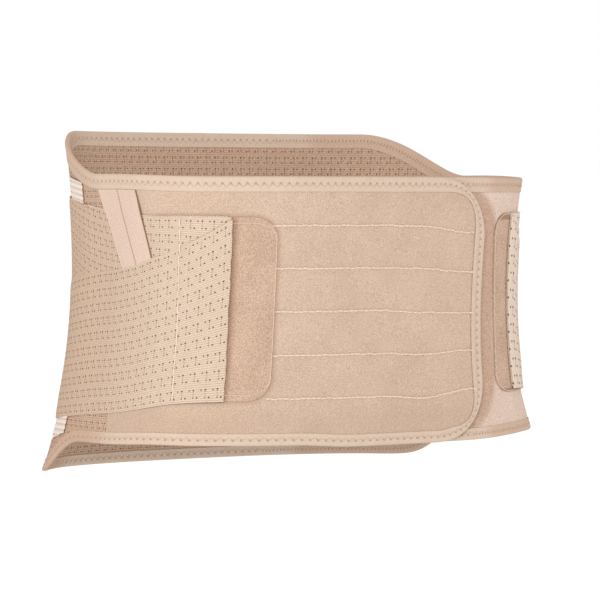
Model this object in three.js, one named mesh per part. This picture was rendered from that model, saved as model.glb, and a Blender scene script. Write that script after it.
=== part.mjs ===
// Lumbosacral brace, shown closed in the form it has when worn.
// Millimetres, +Z up, the front faces -Y, the wearer's right is -X.
// The pattern is laid out flat: s runs round the waist from the front centre, z is the height.
import * as THREE from 'three';

// Torso form
const WAIST_HALF_WIDTH = 152;
const WAIST_DEPTH_RATIO = 0.762;
const WAIST_SQUARENESS = 2.9;
const WAIST_HEIGHT = 20;
const FLARE_ABOVE = 0.00082;
const FLARE_BELOW = 0.00105;
const LEAN = 0.04;
const LEAN_HEIGHT = 40;

// Layers, from the body outward
const GAP = 0.4;
const PANEL = 2.4;
const TAPE = 0.6;
const TAB = 1.0;
const STRAP = 0.9;
const GUIDE = 0.5;

// Belt outline
const FRONT_TOP = 90.4;
const SIDE_TOP = 92.5;
const BACK_TOP = 124;
const FRONT_BOTTOM = -91;
const BACK_BOTTOM = -117;
const SIDE_RISE_FROM = 130;
const SIDE_RISE_TO = 220;
const TOP_RISE_FROM = 236;
const TOP_RISE_TO = 330;
const BOTTOM_DROP_FROM = 245;
const BOTTOM_DROP_TO = 297;
const LEFT_RAISE = 2.8;
const LEFT_FLARE = 2.4;
const LEFT_FLARE_RISE = { from: 50, to: 88 };
const LEFT_ZONE = { from: 60, rise: 130, fall: 215, to: 255 };
const OUTER_END = 76.2;
const UNDER_END = 45;
const END_CORNER = 44;
const END_SLANT = 0.045;
const END_SLANT_SPAN = 47;
const END_SLANT_LIMIT = 75;
const END_SLANT_FULL = 40;
const END_SLANT_NONE = 90;
const PANEL_SEAM = 222;
const PANEL_SEAM_SLANT = 0.148;
const PANEL_SEAM_REACH = 150;
const OVERLAP_RISE_FROM = -125;
const OVERLAP_RISE_TO = -55;
const BINDING_WIDTH = 10;

// Hook tabs
const TAB_FRONT_RIGHT = 92.2;
const TAB_FRONT_LEFT = 95.5;
const TAB_REAR = 158;
const TAB_TOP = 64;
const TAB_BOTTOM = -60;
const TAB_CORNER = 15;

// Side straps: edges of the upper and lower strap at distances round from the front centre
const STRAP_FRONT_LEFT = 115;
const STRAP_SLANT = 0.03;
const STRAP_SLANT_REACH = 60;
const STRAP_ROWS = [
  { along: 121.2, upperHigh: 64, upperLow: -58.5, lowerHigh: 62, lowerLow: -60 },
  { along: 152, upperHigh: 64.5, upperLow: -40, lowerHigh: 44.5, lowerLow: -62 },
  { along: 176, upperHigh: 64.5, upperLow: -31.5, lowerHigh: 36, lowerLow: -66 },
  { along: 203, upperHigh: 66, upperLow: -25, lowerHigh: 29.5, lowerLow: -70 },
  { along: 232, upperHigh: 69, upperLow: -22, lowerHigh: 26.5, lowerLow: -72.5 },
  { along: 276, upperHigh: 75.5, upperLow: -18, lowerHigh: 22.5, lowerLow: -77 },
  { along: 372, upperHigh: 86, upperLow: -9, lowerHigh: 14, lowerLow: -86 },
];
const STRAP_LEAVES_TAB = { from: 160, to: 186 };
const STRAP_MEETS_CASING = { from: 232, to: 257 };
const STRAP_LEAVES_CASING = { from: 286, to: 312 };

// Guide tapes over the upper strap: edges at the top binding and at the lower strap
const GUIDE_REAR = { topBack: 235, topFront: 212.3, endBack: 208.5, endFront: 192.4 };
const GUIDE_FRONT = { topBack: 211.5, topFront: 190, endBack: 191.6, endFront: 175.5 };
const GUIDE_END_LEVEL = 33;
const GUIDE_TUCK = 8;
const GUIDE_DROP = 14;
const GUIDE_ZONE = { from: 160, rise: 172, fall: 214, to: 228 };

// Ridged casings at the side of the back
const CASING_FRONT = 260;
const CASING_BACK = 283;
const CASING_CLEAR_TOP = 12.5;
const CASING_CLEAR_BOTTOM = 16;

// Facet sizes: the columns are closer together where the edge lines curve
const COLUMN = 13;
const CURVED_COLUMN = 6;
const CURVED = { from: 222, to: 346 };
const STRAP_COLUMN = 10;
const PANEL_ROWS = 10;
const CORNER_STEPS = 6;
const WAIST_STEPS = 720;

function smooth(from, to, value) {
  return THREE.MathUtils.smoothstep(value, from, to);
}

function waistRadius(angle) {
  const across = Math.abs(Math.sin(angle)) / WAIST_HALF_WIDTH;
  const deep = Math.abs(Math.cos(angle)) / (WAIST_HALF_WIDTH * WAIST_DEPTH_RATIO);
  const sum = Math.pow(across, WAIST_SQUARENESS) + Math.pow(deep, WAIST_SQUARENESS);
  return Math.pow(sum, -1 / WAIST_SQUARENESS);
}

function waistPoint(angle) {
  const radius = waistRadius(angle);
  return new THREE.Vector2(radius * Math.sin(angle), -radius * Math.cos(angle));
}

function waistNormal(point) {
  const halfDepth = WAIST_HALF_WIDTH * WAIST_DEPTH_RATIO;
  const power = WAIST_SQUARENESS - 1;
  const across = Math.pow(Math.abs(point.x) / WAIST_HALF_WIDTH, power) / WAIST_HALF_WIDTH;
  const deep = Math.pow(Math.abs(point.y) / halfDepth, power) / halfDepth;
  return new THREE.Vector2(Math.sign(point.x) * across, Math.sign(point.y) * deep).normalize();
}

// Length round the waist at each step of the turn
const waistLengths = [0];
for (let step = 1; step <= WAIST_STEPS; step += 1) {
  const before = waistPoint((step - 1) * 2 * Math.PI / WAIST_STEPS);
  const here = waistPoint(step * 2 * Math.PI / WAIST_STEPS);
  waistLengths.push(waistLengths[step - 1] + before.distanceTo(here));
}
const GIRTH = waistLengths[WAIST_STEPS];

function waistAngle(s) {
  const length = THREE.MathUtils.euclideanModulo(s, GIRTH);
  let step = Math.min(WAIST_STEPS - 1, Math.floor(length / GIRTH * WAIST_STEPS));
  while (waistLengths[step] > length) step -= 1;
  while (waistLengths[step + 1] < length) step += 1;
  const share = (length - waistLengths[step]) / (waistLengths[step + 1] - waistLengths[step]);
  return (step + share) * 2 * Math.PI / WAIST_STEPS;
}

// A place on the worn form: lift is the distance outward from the body
function onTorso(s, z, lift) {
  const point = waistPoint(waistAngle(s));
  const normal = waistNormal(point);
  const flare = z < WAIST_HEIGHT ? FLARE_BELOW : FLARE_ABOVE;
  const growth = 1 + flare * (z - WAIST_HEIGHT) ** 2 / WAIST_HALF_WIDTH;
  const x = point.x * growth + normal.x * lift;
  const y = point.y * growth + normal.y * lift - LEAN * (z - LEAN_HEIGHT);
  return new THREE.Vector3(x, y, z);
}

// The belt is one strip from the outer end, round the back, to the under end
const STRIP_OUTER = OUTER_END;
const STRIP_UNDER = -UNDER_END - GIRTH;
const OVERLAP_LIFT = PANEL + 2 * TAPE + 3 * GAP;

function stripLift(s) {
  return OVERLAP_LIFT * smooth(OVERLAP_RISE_FROM, OVERLAP_RISE_TO, s);
}

// Distance from the front centre by the shorter way round
function fromFront(s) {
  const length = THREE.MathUtils.euclideanModulo(s, GIRTH);
  return Math.min(length, GIRTH - length);
}

// Share of the wearer's left side, from none at the front and back to all at the side
function onLeft(s) {
  const around = fromFront(s);
  const { from, rise, fall, to } = LEFT_ZONE;
  return s < -GIRTH / 2 ? smooth(from, rise, around) * (1 - smooth(fall, to, around)) : 0;
}

// The left side stands out a little more over the hip
function hipLift(s, z) {
  return LEFT_FLARE * onLeft(s) * smooth(LEFT_FLARE_RISE.from, LEFT_FLARE_RISE.to, -z);
}

function onStrip(s, z, lift) {
  return onTorso(s, z, lift + stripLift(s) + hipLift(s, z));
}

function topLine(s) {
  const around = fromFront(s);
  const side = (SIDE_TOP - FRONT_TOP) * smooth(SIDE_RISE_FROM, SIDE_RISE_TO, around);
  return FRONT_TOP + side + (BACK_TOP - SIDE_TOP) * smooth(TOP_RISE_FROM, TOP_RISE_TO, around);
}

// The left side is worn a little higher along the bottom
function bottomLine(s) {
  const drop = (BACK_BOTTOM - FRONT_BOTTOM) * smooth(BOTTOM_DROP_FROM, BOTTOM_DROP_TO, fromFront(s));
  return FRONT_BOTTOM + drop + LEFT_RAISE * onLeft(s);
}

// The free ends lean a little between their corners; the lean fades away along the panel
function leaned(s, z) {
  const outer = smooth(OUTER_END - END_SLANT_NONE, OUTER_END - END_SLANT_FULL, s);
  const under = 1 - smooth(STRIP_UNDER + END_SLANT_FULL, STRIP_UNDER + END_SLANT_NONE, s);
  const level = (2 * smooth(-END_SLANT_LIMIT, END_SLANT_LIMIT, z) - 1) * END_SLANT_SPAN;
  return s + END_SLANT * level * (outer - under);
}

function cornerDrop(distance, radius) {
  const inside = Math.max(0, radius - distance);
  return radius - Math.sqrt(radius * radius - inside * inside);
}

function spread(from, to, pitch) {
  const count = Math.max(1, Math.round(Math.abs(to - from) / pitch));
  return Array.from({ length: count + 1 }, (_, i) => from + (to - from) * i / count);
}

// Columns along a stretch of the strip
function stripColumns(from, to) {
  const sign = Math.sign(to - from);
  const stops = [-CURVED.from, -CURVED.to, CURVED.to - GIRTH, CURVED.from - GIRTH];
  const inside = stops.filter((s) => (s - from) * sign > 1 && (to - s) * sign > 1);
  const ends = [from, ...inside.sort((a, b) => (a - b) * sign), to];
  const columns = [from];
  for (let k = 1; k < ends.length; k += 1) {
    const around = fromFront((ends[k - 1] + ends[k]) / 2);
    const curved = around > CURVED.from && around < CURVED.to;
    columns.push(...spread(ends[k - 1], ends[k], curved ? CURVED_COLUMN : COLUMN).slice(1));
  }
  return columns;
}

function material(colour, roughness) {
  return new THREE.MeshStandardMaterial({ color: new THREE.Color(colour), roughness, metalness: 0 });
}

// A closed body from points and triangles, turned so that its faces look outward
function body(name, points, triangles, surface) {
  let volume = 0;
  for (const [a, b, c] of triangles) {
    volume += points[a].dot(new THREE.Vector3().crossVectors(points[b], points[c]));
  }
  const turned = volume < 0 ? triangles.map(([a, b, c]) => [a, c, b]) : triangles;
  const geometry = new THREE.BufferGeometry().setFromPoints(points);
  geometry.setIndex(turned.flat());
  geometry.computeVertexNormals();
  const mesh = new THREE.Mesh(geometry, surface);
  mesh.name = name;
  return mesh;
}

function quad(triangles, a, b, c, d) {
  triangles.push([a, b, c], [a, c, d]);
}

// A sheet with thickness: place(column, row, face) gives a point, face 0 inside and 1 outside
function sheet(name, columns, rows, place, surface) {
  const points = [];
  const index = (i, j, face) => (i * (rows + 1) + j) * 2 + face;
  for (let i = 0; i <= columns; i += 1) {
    for (let j = 0; j <= rows; j += 1) {
      points.push(place(i, j, 0), place(i, j, 1));
    }
  }
  const triangles = [];
  for (let i = 0; i < columns; i += 1) {
    for (let j = 0; j < rows; j += 1) {
      const next = i + 1;
      quad(triangles, index(i, j, 1), index(next, j, 1), index(next, j + 1, 1), index(i, j + 1, 1));
      quad(triangles, index(i, j, 0), index(i, j + 1, 0), index(next, j + 1, 0), index(next, j, 0));
    }
  }
  for (let i = 0; i < columns; i += 1) {
    quad(triangles, index(i, 0, 0), index(i + 1, 0, 0), index(i + 1, 0, 1), index(i, 0, 1));
    quad(triangles, index(i, rows, 1), index(i + 1, rows, 1), index(i + 1, rows, 0), index(i, rows, 0));
  }
  const last = columns;
  for (let j = 0; j < rows; j += 1) {
    quad(triangles, index(0, j, 1), index(0, j + 1, 1), index(0, j + 1, 0), index(0, j, 0));
    quad(triangles, index(last, j, 0), index(last, j + 1, 0), index(last, j + 1, 1), index(last, j, 1));
  }
  return body(name, points, triangles, surface);
}

// Columns of a front panel, closer together where its end is rounded
function frontColumns(seam, end) {
  const sign = Math.sign(end - seam);
  const straight = stripColumns(seam, end - sign * END_CORNER);
  for (let step = 1; step <= CORNER_STEPS; step += 1) {
    straight.push(end - sign * END_CORNER * (1 - Math.sin(step * Math.PI / 2 / CORNER_STEPS)));
  }
  return straight;
}

// Height of an edge line where a leaning column meets it
function columnEnd(line, shifted) {
  let z = line(shifted(0));
  for (let pass = 0; pass < 6; pass += 1) z = line(shifted(z));
  return z;
}

function frontPanel(name, seam, end, surface) {
  const sign = Math.sign(end - seam);
  const columns = frontColumns(seam, end);
  const place = (i, j, face) => {
    const s = columns[i];
    const drop = cornerDrop(Math.abs(end - s), END_CORNER);
    const toSeam = 1 - smooth(0, PANEL_SEAM_REACH, Math.abs(s - seam));
    const shifted = (z) => leaned(s, z) + sign * toSeam * (GAP / 2 - PANEL_SEAM_SLANT * z);
    const top = columnEnd(topLine, shifted) - drop;
    const bottom = columnEnd(bottomLine, shifted) + drop;
    const z = THREE.MathUtils.lerp(bottom, top, j / PANEL_ROWS);
    return onStrip(shifted(z), z, face * PANEL);
  };
  return sheet(name, columns.length - 1, PANEL_ROWS, place, surface);
}

function backPanel(name, surface) {
  const columns = stripColumns(PANEL_SEAM - GIRTH, -PANEL_SEAM);
  const middle = -GIRTH / 2;
  const half = GIRTH / 2 - PANEL_SEAM;
  const place = (i, j, face) => {
    const share = (columns[i] - middle) / half;
    const toSeam = Math.sign(share) * smooth(0, 1, Math.abs(share));
    const shifted = (z) => columns[i] - toSeam * (GAP / 2 + PANEL_SEAM_SLANT * z);
    const top = columnEnd(topLine, shifted);
    const bottom = columnEnd(bottomLine, shifted);
    const z = THREE.MathUtils.lerp(bottom, top, j / PANEL_ROWS);
    return onStrip(shifted(z), z, face * PANEL);
  };
  return sheet(name, columns.length - 1, PANEL_ROWS, place, surface);
}

// Outline of the whole strip, station by station
function stripOutline() {
  const stations = [];
  const along = stripColumns(STRIP_OUTER - END_CORNER, STRIP_UNDER + END_CORNER);
  const corner = (end, sign, high, turn) => {
    const level = high > 0 ? topLine(end) - END_CORNER : bottomLine(end) + END_CORNER;
    const s = end - sign * END_CORNER * (1 - Math.sin(turn));
    return new THREE.Vector2(s, level + high * END_CORNER * Math.cos(turn));
  };
  const quarter = Math.PI / 2 / CORNER_STEPS;
  const addEnd = (end, sign, high) => {
    for (let step = 1; step <= CORNER_STEPS; step += 1) {
      stations.push(corner(end, sign, high, step * quarter));
    }
    const from = corner(end, sign, high, Math.PI / 2);
    const to = corner(end, sign, -high, Math.PI / 2);
    for (let step = 1; step < 4; step += 1) stations.push(from.clone().lerp(to, step / 4));
    for (let step = CORNER_STEPS; step >= 1; step -= 1) {
      stations.push(corner(end, sign, -high, step * quarter));
    }
  };
  for (const s of along) stations.push(new THREE.Vector2(s, topLine(s)));
  addEnd(STRIP_UNDER, -1, 1);
  for (const s of along.slice().reverse()) stations.push(new THREE.Vector2(s, bottomLine(s)));
  addEnd(STRIP_OUTER, 1, -1);
  return stations.map((station) => new THREE.Vector2(leaned(station.x, station.y), station.y));
}

// Folded tape: a U section carried round the outline
function edgeBinding(name, surface) {
  const stations = stripOutline();
  const outside = PANEL + GAP;
  const section = [
    { inset: BINDING_WIDTH, lift: outside + TAPE },
    { inset: -GAP - TAPE, lift: outside + TAPE },
    { inset: -GAP - TAPE, lift: -GAP - TAPE },
    { inset: BINDING_WIDTH, lift: -GAP - TAPE },
    { inset: BINDING_WIDTH, lift: -GAP },
    { inset: -GAP, lift: -GAP },
    { inset: -GAP, lift: outside },
    { inset: BINDING_WIDTH, lift: outside },
  ];
  const count = stations.length;
  const points = [];
  stations.forEach((station, i) => {
    const before = stations[(i + count - 1) % count];
    const after = stations[(i + 1) % count];
    const run = after.clone().sub(before).normalize();
    const inward = new THREE.Vector2(-run.y, run.x);
    for (const { inset, lift } of section) {
      points.push(onStrip(station.x + inward.x * inset, station.y + inward.y * inset, lift));
    }
  });
  const triangles = [];
  const index = (i, k) => (i % count) * section.length + (k % section.length);
  for (let i = 0; i < count; i += 1) {
    for (let k = 0; k < section.length; k += 1) {
      quad(triangles, index(i, k), index(i + 1, k), index(i + 1, k + 1), index(i, k + 1));
    }
  }
  return body(name, points, triangles, surface);
}

// Side pieces: along is the distance round from the front centre, side is -1 right and +1 left
function onSide(side, along, z, lift) {
  const s = side < 0 ? -along : along - GIRTH;
  return onStrip(s, z, lift);
}

function hookTab(name, side, surface) {
  const front = side < 0 ? TAB_FRONT_RIGHT : TAB_FRONT_LEFT;
  const columns = [];
  for (let step = 0; step <= CORNER_STEPS; step += 1) {
    columns.push(front + TAB_CORNER * (1 - Math.cos(step * Math.PI / 2 / CORNER_STEPS)));
  }
  columns.push(...spread(front + TAB_CORNER, TAB_REAR, STRAP_COLUMN).slice(1));
  const rows = 6;
  const place = (i, j, face) => {
    const drop = cornerDrop(columns[i] - front, TAB_CORNER);
    const z = THREE.MathUtils.lerp(TAB_BOTTOM + drop, TAB_TOP - drop, j / rows);
    return onSide(side, columns[i], z, PANEL + GAP + face * TAB);
  };
  return sheet(name, columns.length - 1, rows, place, surface);
}

function strapRow(along, column) {
  const last = STRAP_ROWS.length - 1;
  let k = 0;
  while (k < last - 1 && STRAP_ROWS[k + 1].along < along) k += 1;
  const slope = (n) => {
    const before = STRAP_ROWS[Math.max(0, n - 1)];
    const after = STRAP_ROWS[Math.min(last, n + 1)];
    return (after[column] - before[column]) / (after.along - before.along);
  };
  const run = STRAP_ROWS[k + 1].along - STRAP_ROWS[k].along;
  const t = Math.max(0, (along - STRAP_ROWS[k].along) / run);
  const ease = t * t * (3 - 2 * t);
  const start = STRAP_ROWS[k][column] + slope(k) * run * t;
  const finish = STRAP_ROWS[k + 1][column] - slope(k + 1) * run * (1 - t);
  return start + (finish - start) * ease;
}

// The straps climb over the tab at the front and over the casing at the side
function strapLift(along) {
  const onTab = 1 - smooth(STRAP_LEAVES_TAB.from, STRAP_LEAVES_TAB.to, along);
  const leaving = 1 - smooth(STRAP_LEAVES_CASING.from, STRAP_LEAVES_CASING.to, along);
  const onCasing = smooth(STRAP_MEETS_CASING.from, STRAP_MEETS_CASING.to, along) * leaving;
  return PANEL + GAP + (TAB + GAP) * Math.max(onTab, onCasing);
}

function strap(name, side, low, high, lift, surface) {
  const first = side < 0 ? STRAP_ROWS[0].along : STRAP_FRONT_LEFT;
  const columns = spread(first, STRAP_ROWS[STRAP_ROWS.length - 1].along, STRAP_COLUMN);
  const rows = 4;
  const place = (i, j, face) => {
    const z = THREE.MathUtils.lerp(strapRow(columns[i], low), strapRow(columns[i], high), j / rows);
    const lean = -STRAP_SLANT * z * (1 - smooth(first, first + STRAP_SLANT_REACH, columns[i]));
    return onSide(side, columns[i] + lean, z, lift(columns[i]) + face * STRAP);
  };
  return sheet(name, columns.length - 1, rows, place, surface);
}

// The lower strap also climbs over the guide tapes
function lowerStrapLift(along) {
  const { from, rise, fall, to } = GUIDE_ZONE;
  const onGuides = smooth(from, rise, along) * (1 - smooth(fall, to, along));
  return strapLift(along) + STRAP + GAP + (GUIDE + GAP) * onGuides;
}

function guideTape(name, side, edges, surface) {
  const rows = 8;
  const columns = 2;
  const place = (i, j, face) => {
    const across = i / columns;
    const top = THREE.MathUtils.lerp(edges.topBack, edges.topFront, across);
    const end = THREE.MathUtils.lerp(edges.endBack, edges.endFront, across);
    const high = topLine(top) - BINDING_WIDTH - 2 * GAP;
    const low = strapRow(end, 'lowerHigh') - GUIDE_TUCK;
    const z = THREE.MathUtils.lerp(low, high, j / rows);
    const along = THREE.MathUtils.mapLinear(z, high, GUIDE_END_LEVEL, top, end);
    const strapEdge = strapRow(along, 'upperHigh');
    const overStrap = 1 - smooth(strapEdge + 1, strapEdge + GUIDE_DROP, z);
    const lift = strapLift(along) + (STRAP + GAP) * overStrap;
    return onSide(side, along, z, lift + face * GUIDE);
  };
  return sheet(name, columns, rows, place, surface);
}

function stayCasing(name, side, surface) {
  const columns = 3;
  const rows = 10;
  const place = (i, j, face) => {
    const along = THREE.MathUtils.lerp(CASING_FRONT, CASING_BACK, i / columns);
    const low = bottomLine(along) + CASING_CLEAR_BOTTOM;
    const high = topLine(along) - CASING_CLEAR_TOP;
    const z = THREE.MathUtils.lerp(low, high, j / rows);
    return onSide(side, along, z, PANEL + GAP + face * TAB);
  };
  return sheet(name, columns, rows, place, surface);
}

const VELOUR = 0xd9bda7;
const VELOUR_UNDER = 0xdfc6b7;
const KNIT = 0xcaa78e;
const ELASTIC = 0xdec5ae;
const BINDING_TAPE = 0xe0c7b4;
const HOOK = 0xd2b29b;
const RIBBED_TAPE = 0xe9d0c0;
const CREAM = 0xe6d7ce;

const brace = new THREE.Group();
brace.name = 'lumbosacral_brace';
brace.add(
  frontPanel('front_panel_right', -PANEL_SEAM, STRIP_OUTER, material(VELOUR, 0.95)),
  frontPanel('front_panel_left', PANEL_SEAM - GIRTH, STRIP_UNDER, material(VELOUR_UNDER, 0.95)),
  backPanel('back_panel', material(KNIT, 0.9)),
  edgeBinding('edge_binding', material(BINDING_TAPE, 0.85)),
);
for (const [label, side] of [['right', -1], ['left', 1]]) {
  brace.add(
    hookTab(`hook_tab_${label}`, side, material(HOOK, 0.95)),
    strap(`strap_upper_${label}`, side, 'upperLow', 'upperHigh', strapLift, material(ELASTIC, 0.9)),
    strap(`strap_lower_${label}`, side, 'lowerLow', 'lowerHigh', lowerStrapLift, material(ELASTIC, 0.9)),
    guideTape(`guide_tape_rear_${label}`, side, GUIDE_REAR, material(RIBBED_TAPE, 0.8)),
    guideTape(`guide_tape_front_${label}`, side, GUIDE_FRONT, material(RIBBED_TAPE, 0.8)),
    stayCasing(`stay_casing_${label}`, side, material(CREAM, 0.6)),
  );
}

export default brace;
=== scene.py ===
# %% [markdown]
# Lumbosacral brace, dressed for the camera.
# The imported model is the frame: every piece below is laid over one of its solids, in metres.

# %% Load the frame
import bisect
import math
import random

import bmesh
import bpy
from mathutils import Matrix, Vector


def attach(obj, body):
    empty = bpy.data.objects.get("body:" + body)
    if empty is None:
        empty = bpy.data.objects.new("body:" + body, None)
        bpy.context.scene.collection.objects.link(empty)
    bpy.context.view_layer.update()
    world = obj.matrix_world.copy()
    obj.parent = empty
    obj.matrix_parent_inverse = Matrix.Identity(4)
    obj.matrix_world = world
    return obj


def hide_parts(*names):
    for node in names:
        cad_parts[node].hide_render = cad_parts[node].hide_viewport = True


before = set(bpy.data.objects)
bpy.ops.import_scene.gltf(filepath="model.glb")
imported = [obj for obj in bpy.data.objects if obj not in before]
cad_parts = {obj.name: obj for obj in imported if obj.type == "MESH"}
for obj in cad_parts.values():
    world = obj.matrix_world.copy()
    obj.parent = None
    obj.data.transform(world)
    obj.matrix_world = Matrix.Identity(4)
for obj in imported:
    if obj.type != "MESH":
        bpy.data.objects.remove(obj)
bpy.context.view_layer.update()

# %% [markdown]
# The form it is worn on.
# A brace like this is cut flat and pulled round the waist, so each piece is drawn flat and then wrapped.
# The flat pattern has s, the distance round from the front centre, and z, the height, both in mm.
# The waist is a squarish oval, measured once in short steps so that any s can be turned into an angle.

# %% The oval of the waist
MM = 0.001
HALF_WIDTH, DEPTH_SHARE, SQUARENESS = 152.0, 0.762, 2.9
HALF_DEPTH = HALF_WIDTH * DEPTH_SHARE
WAIST_STEPS = 720


def between(first, second, share):
    return first + (second - first) * share


def waist_point(angle):
    across = abs(math.sin(angle)) / HALF_WIDTH
    deep = abs(math.cos(angle)) / HALF_DEPTH
    radius = (across ** SQUARENESS + deep ** SQUARENESS) ** (-1.0 / SQUARENESS)
    return Vector((radius * math.sin(angle), -radius * math.cos(angle)))


def waist_normal(point):
    power = SQUARENESS - 1.0
    x = math.copysign(abs(point.x / HALF_WIDTH) ** power, point.x) / HALF_WIDTH
    y = math.copysign(abs(point.y / HALF_DEPTH) ** power, point.y) / HALF_DEPTH
    return Vector((x, y)).normalized()


waist_lengths = [0.0]
for step in range(WAIST_STEPS):
    here = waist_point(step * math.tau / WAIST_STEPS)
    after = waist_point((step + 1) * math.tau / WAIST_STEPS)
    waist_lengths.append(waist_lengths[-1] + (after - here).length)
GIRTH = waist_lengths[-1]


def waist_angle(s):
    length = s % GIRTH
    step = min(WAIST_STEPS - 1, bisect.bisect_right(waist_lengths, length) - 1)
    share = (length - waist_lengths[step]) / (waist_lengths[step + 1] - waist_lengths[step])
    return (step + share) * math.tau / WAIST_STEPS


print("girth of the waist, mm:", round(GIRTH, 1))

# %% [markdown]
# Wrapping carries a flat place, and a lift off the body, to a point in space.
# The form flares with the square of the height above or below the waist.
# It leans a little, and ripples as cloth does.
# Two places stand further out: the outer flap, which lies on the under one, and the belt's lower left side.

# %% Wrapping the flat pattern
WAIST_LEVEL = 20.0
FLARE_ABOVE, FLARE_BELOW = 0.00082 / HALF_WIDTH, 0.00105 / HALF_WIDTH
LEAN, LEAN_LEVEL = 0.04, 40.0
RIPPLES = ((0.22, 19.0, 47.0), (0.16, 8.3, -29.0))
OVERLAP_LIFT, OVERLAP_RISE = 4.8, (-125.0, -55.0)
LEFT_LIFT, LEFT_DEPTH = 2.4, (50.0, 88.0)
LEFT_RISE, LEFT_FALL = (60.0, 130.0), (215.0, 255.0)


def smooth(start, end, value):
    t = min(1.0, max(0.0, (value - start) / (end - start)))
    return t * t * (3.0 - 2.0 * t)


def fading(start, end, value):
    return 1.0 - smooth(start, end, value)


def hill(rise, fall, value):
    return smooth(*rise, value) * fading(*fall, value)


def on_torso(s, z, lift):
    point = waist_point(waist_angle(s))
    flare = FLARE_BELOW if z < WAIST_LEVEL else FLARE_ABOVE
    ripple = sum(high * math.sin(s % GIRTH / long + z / tall) for high, long, tall in RIPPLES)
    place = point * (1.0 + flare * (z - WAIST_LEVEL) ** 2) + waist_normal(point) * (lift + ripple)
    return Vector((place.x, place.y - LEAN * (z - LEAN_LEVEL), z)) * MM


def from_front(s):
    return min(s % GIRTH, GIRTH - s % GIRTH)


def on_left(s):
    return hill(LEFT_RISE, LEFT_FALL, from_front(s)) if s < -GIRTH / 2.0 else 0.0


def on_strip(s, z, lift):
    overlap = OVERLAP_LIFT * smooth(*OVERLAP_RISE, s)
    return on_torso(s, z, lift + overlap + LEFT_LIFT * on_left(s) * smooth(*LEFT_DEPTH, -z))


def side_place(side, along):
    """The distance round of a place on the right side (-1) or the left side (1)."""
    return -along if side < 0 else along - GIRTH


def on_side(side, along, z, lift):
    return on_strip(side_place(side, along), z, lift)


print("front centre at the waist, m:", [round(x, 4) for x in on_torso(0.0, 0.0, 0.0)])

# %% [markdown]
# The camera stands a long way off, a little above, and about 34 degrees round to the wearer's right.
# A long lens keeps the sides of the belt nearly straight, as in a catalogue picture.

# %% Camera
CAMERA_TURN = math.radians(-34.0)
CAMERA_AWAY, CAMERA_HEIGHT, LOOK_HEIGHT, SIDESTEP = 2.5, 0.0755, 0.0041, 0.0031
LENS, SENSOR = 210.0, 36.0
back = Vector((math.sin(CAMERA_TURN), -math.cos(CAMERA_TURN), 0.0))
aside = Vector((math.cos(CAMERA_TURN), math.sin(CAMERA_TURN), 0.0)) * SIDESTEP
camera = bpy.data.objects.new("camera", bpy.data.cameras.new("camera"))
camera.data.lens = LENS
camera.data.sensor_width = SENSOR
camera.location = back * CAMERA_AWAY + aside + Vector((0.0, 0.0, CAMERA_HEIGHT))


def aim(thing, looking):
    thing.rotation_mode = "QUATERNION"
    thing.rotation_quaternion = looking.to_track_quat("-Z", "Y")
    bpy.context.scene.collection.objects.link(thing)


aim(camera, aside + Vector((0.0, 0.0, LOOK_HEIGHT)) - camera.location)
bpy.context.scene.camera = camera
print("camera at, m:", [round(x, 3) for x in camera.location])

# %% [markdown]
# The studio is white all round, and its walls fill the shadows warmly.
# Warm walls would also tint the background, so the camera itself sees plain white paper.

# %% Studio walls
WHITE, WALL_TINT, WALL_STRENGTH = (1.0, 1.0, 1.0, 1.0), (1.0, 0.95, 0.90, 1.0), 0.8
bpy.context.scene.view_settings.view_transform = "Standard"
studio = bpy.data.worlds.new("studio")
studio.use_nodes = True
room = studio.node_tree
walls = room.nodes["Background"]
walls.inputs["Color"].default_value = WALL_TINT
walls.inputs["Strength"].default_value = WALL_STRENGTH
paper = room.nodes.new("ShaderNodeBackground")
paper.inputs["Color"].default_value = WHITE
seen = room.nodes.new("ShaderNodeLightPath")
either = room.nodes.new("ShaderNodeMixShader")
for socket, source in zip(either.inputs, (seen.outputs["Is Camera Ray"], walls.outputs[0], paper.outputs[0])):
    room.links.new(source, socket)
room.links.new(either.outputs[0], room.nodes["World Output"].inputs["Surface"])
bpy.context.scene.world = studio
print("world nodes:", len(room.nodes))

# %% [markdown]
# A key lamp a little to the left of the camera gives the flap's end and the straps their shadows.
# A weak lamp on either side keeps the far edges readable.

# %% Lamps
LAMP_AWAY = 2.2


def lamp(name, turn, height, size, power):
    made = bpy.data.objects.new(name, bpy.data.lights.new(name, "AREA"))
    made.data.size = size
    made.data.energy = power
    turn = math.radians(turn)
    made.location = Vector((math.sin(turn), -math.cos(turn), 0.0)) * LAMP_AWAY + Vector((0.0, 0.0, height))
    aim(made, -made.location)


lamp("key_lamp", turn=-42.0, height=0.48, size=0.35, power=21.6)
lamp("left_lamp", turn=-86.0, height=0.4, size=0.7, power=8.0)
lamp("right_lamp", turn=62.0, height=0.4, size=0.7, power=11.0)
print("lamps:", len(bpy.data.lights))

# %% [markdown]
# The brace is worn and stands on nothing.
# So the floor lies well below, and its shadow stays out of the picture.
# It glows a little, so that it is as white as the paper behind.

# %% Floor
FLOOR_LEVEL, FLOOR_SIZE, FLOOR_GLOW = -0.6, 60.0, 0.9
FLOOR_GREY = (0.2, 0.2, 0.2, 1.0)


def keep_mesh(name, made):
    piece = bpy.data.objects.new(name, bpy.data.meshes.new(name))
    made.to_mesh(piece.data)
    made.free()
    bpy.context.scene.collection.objects.link(piece)
    return piece


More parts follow.
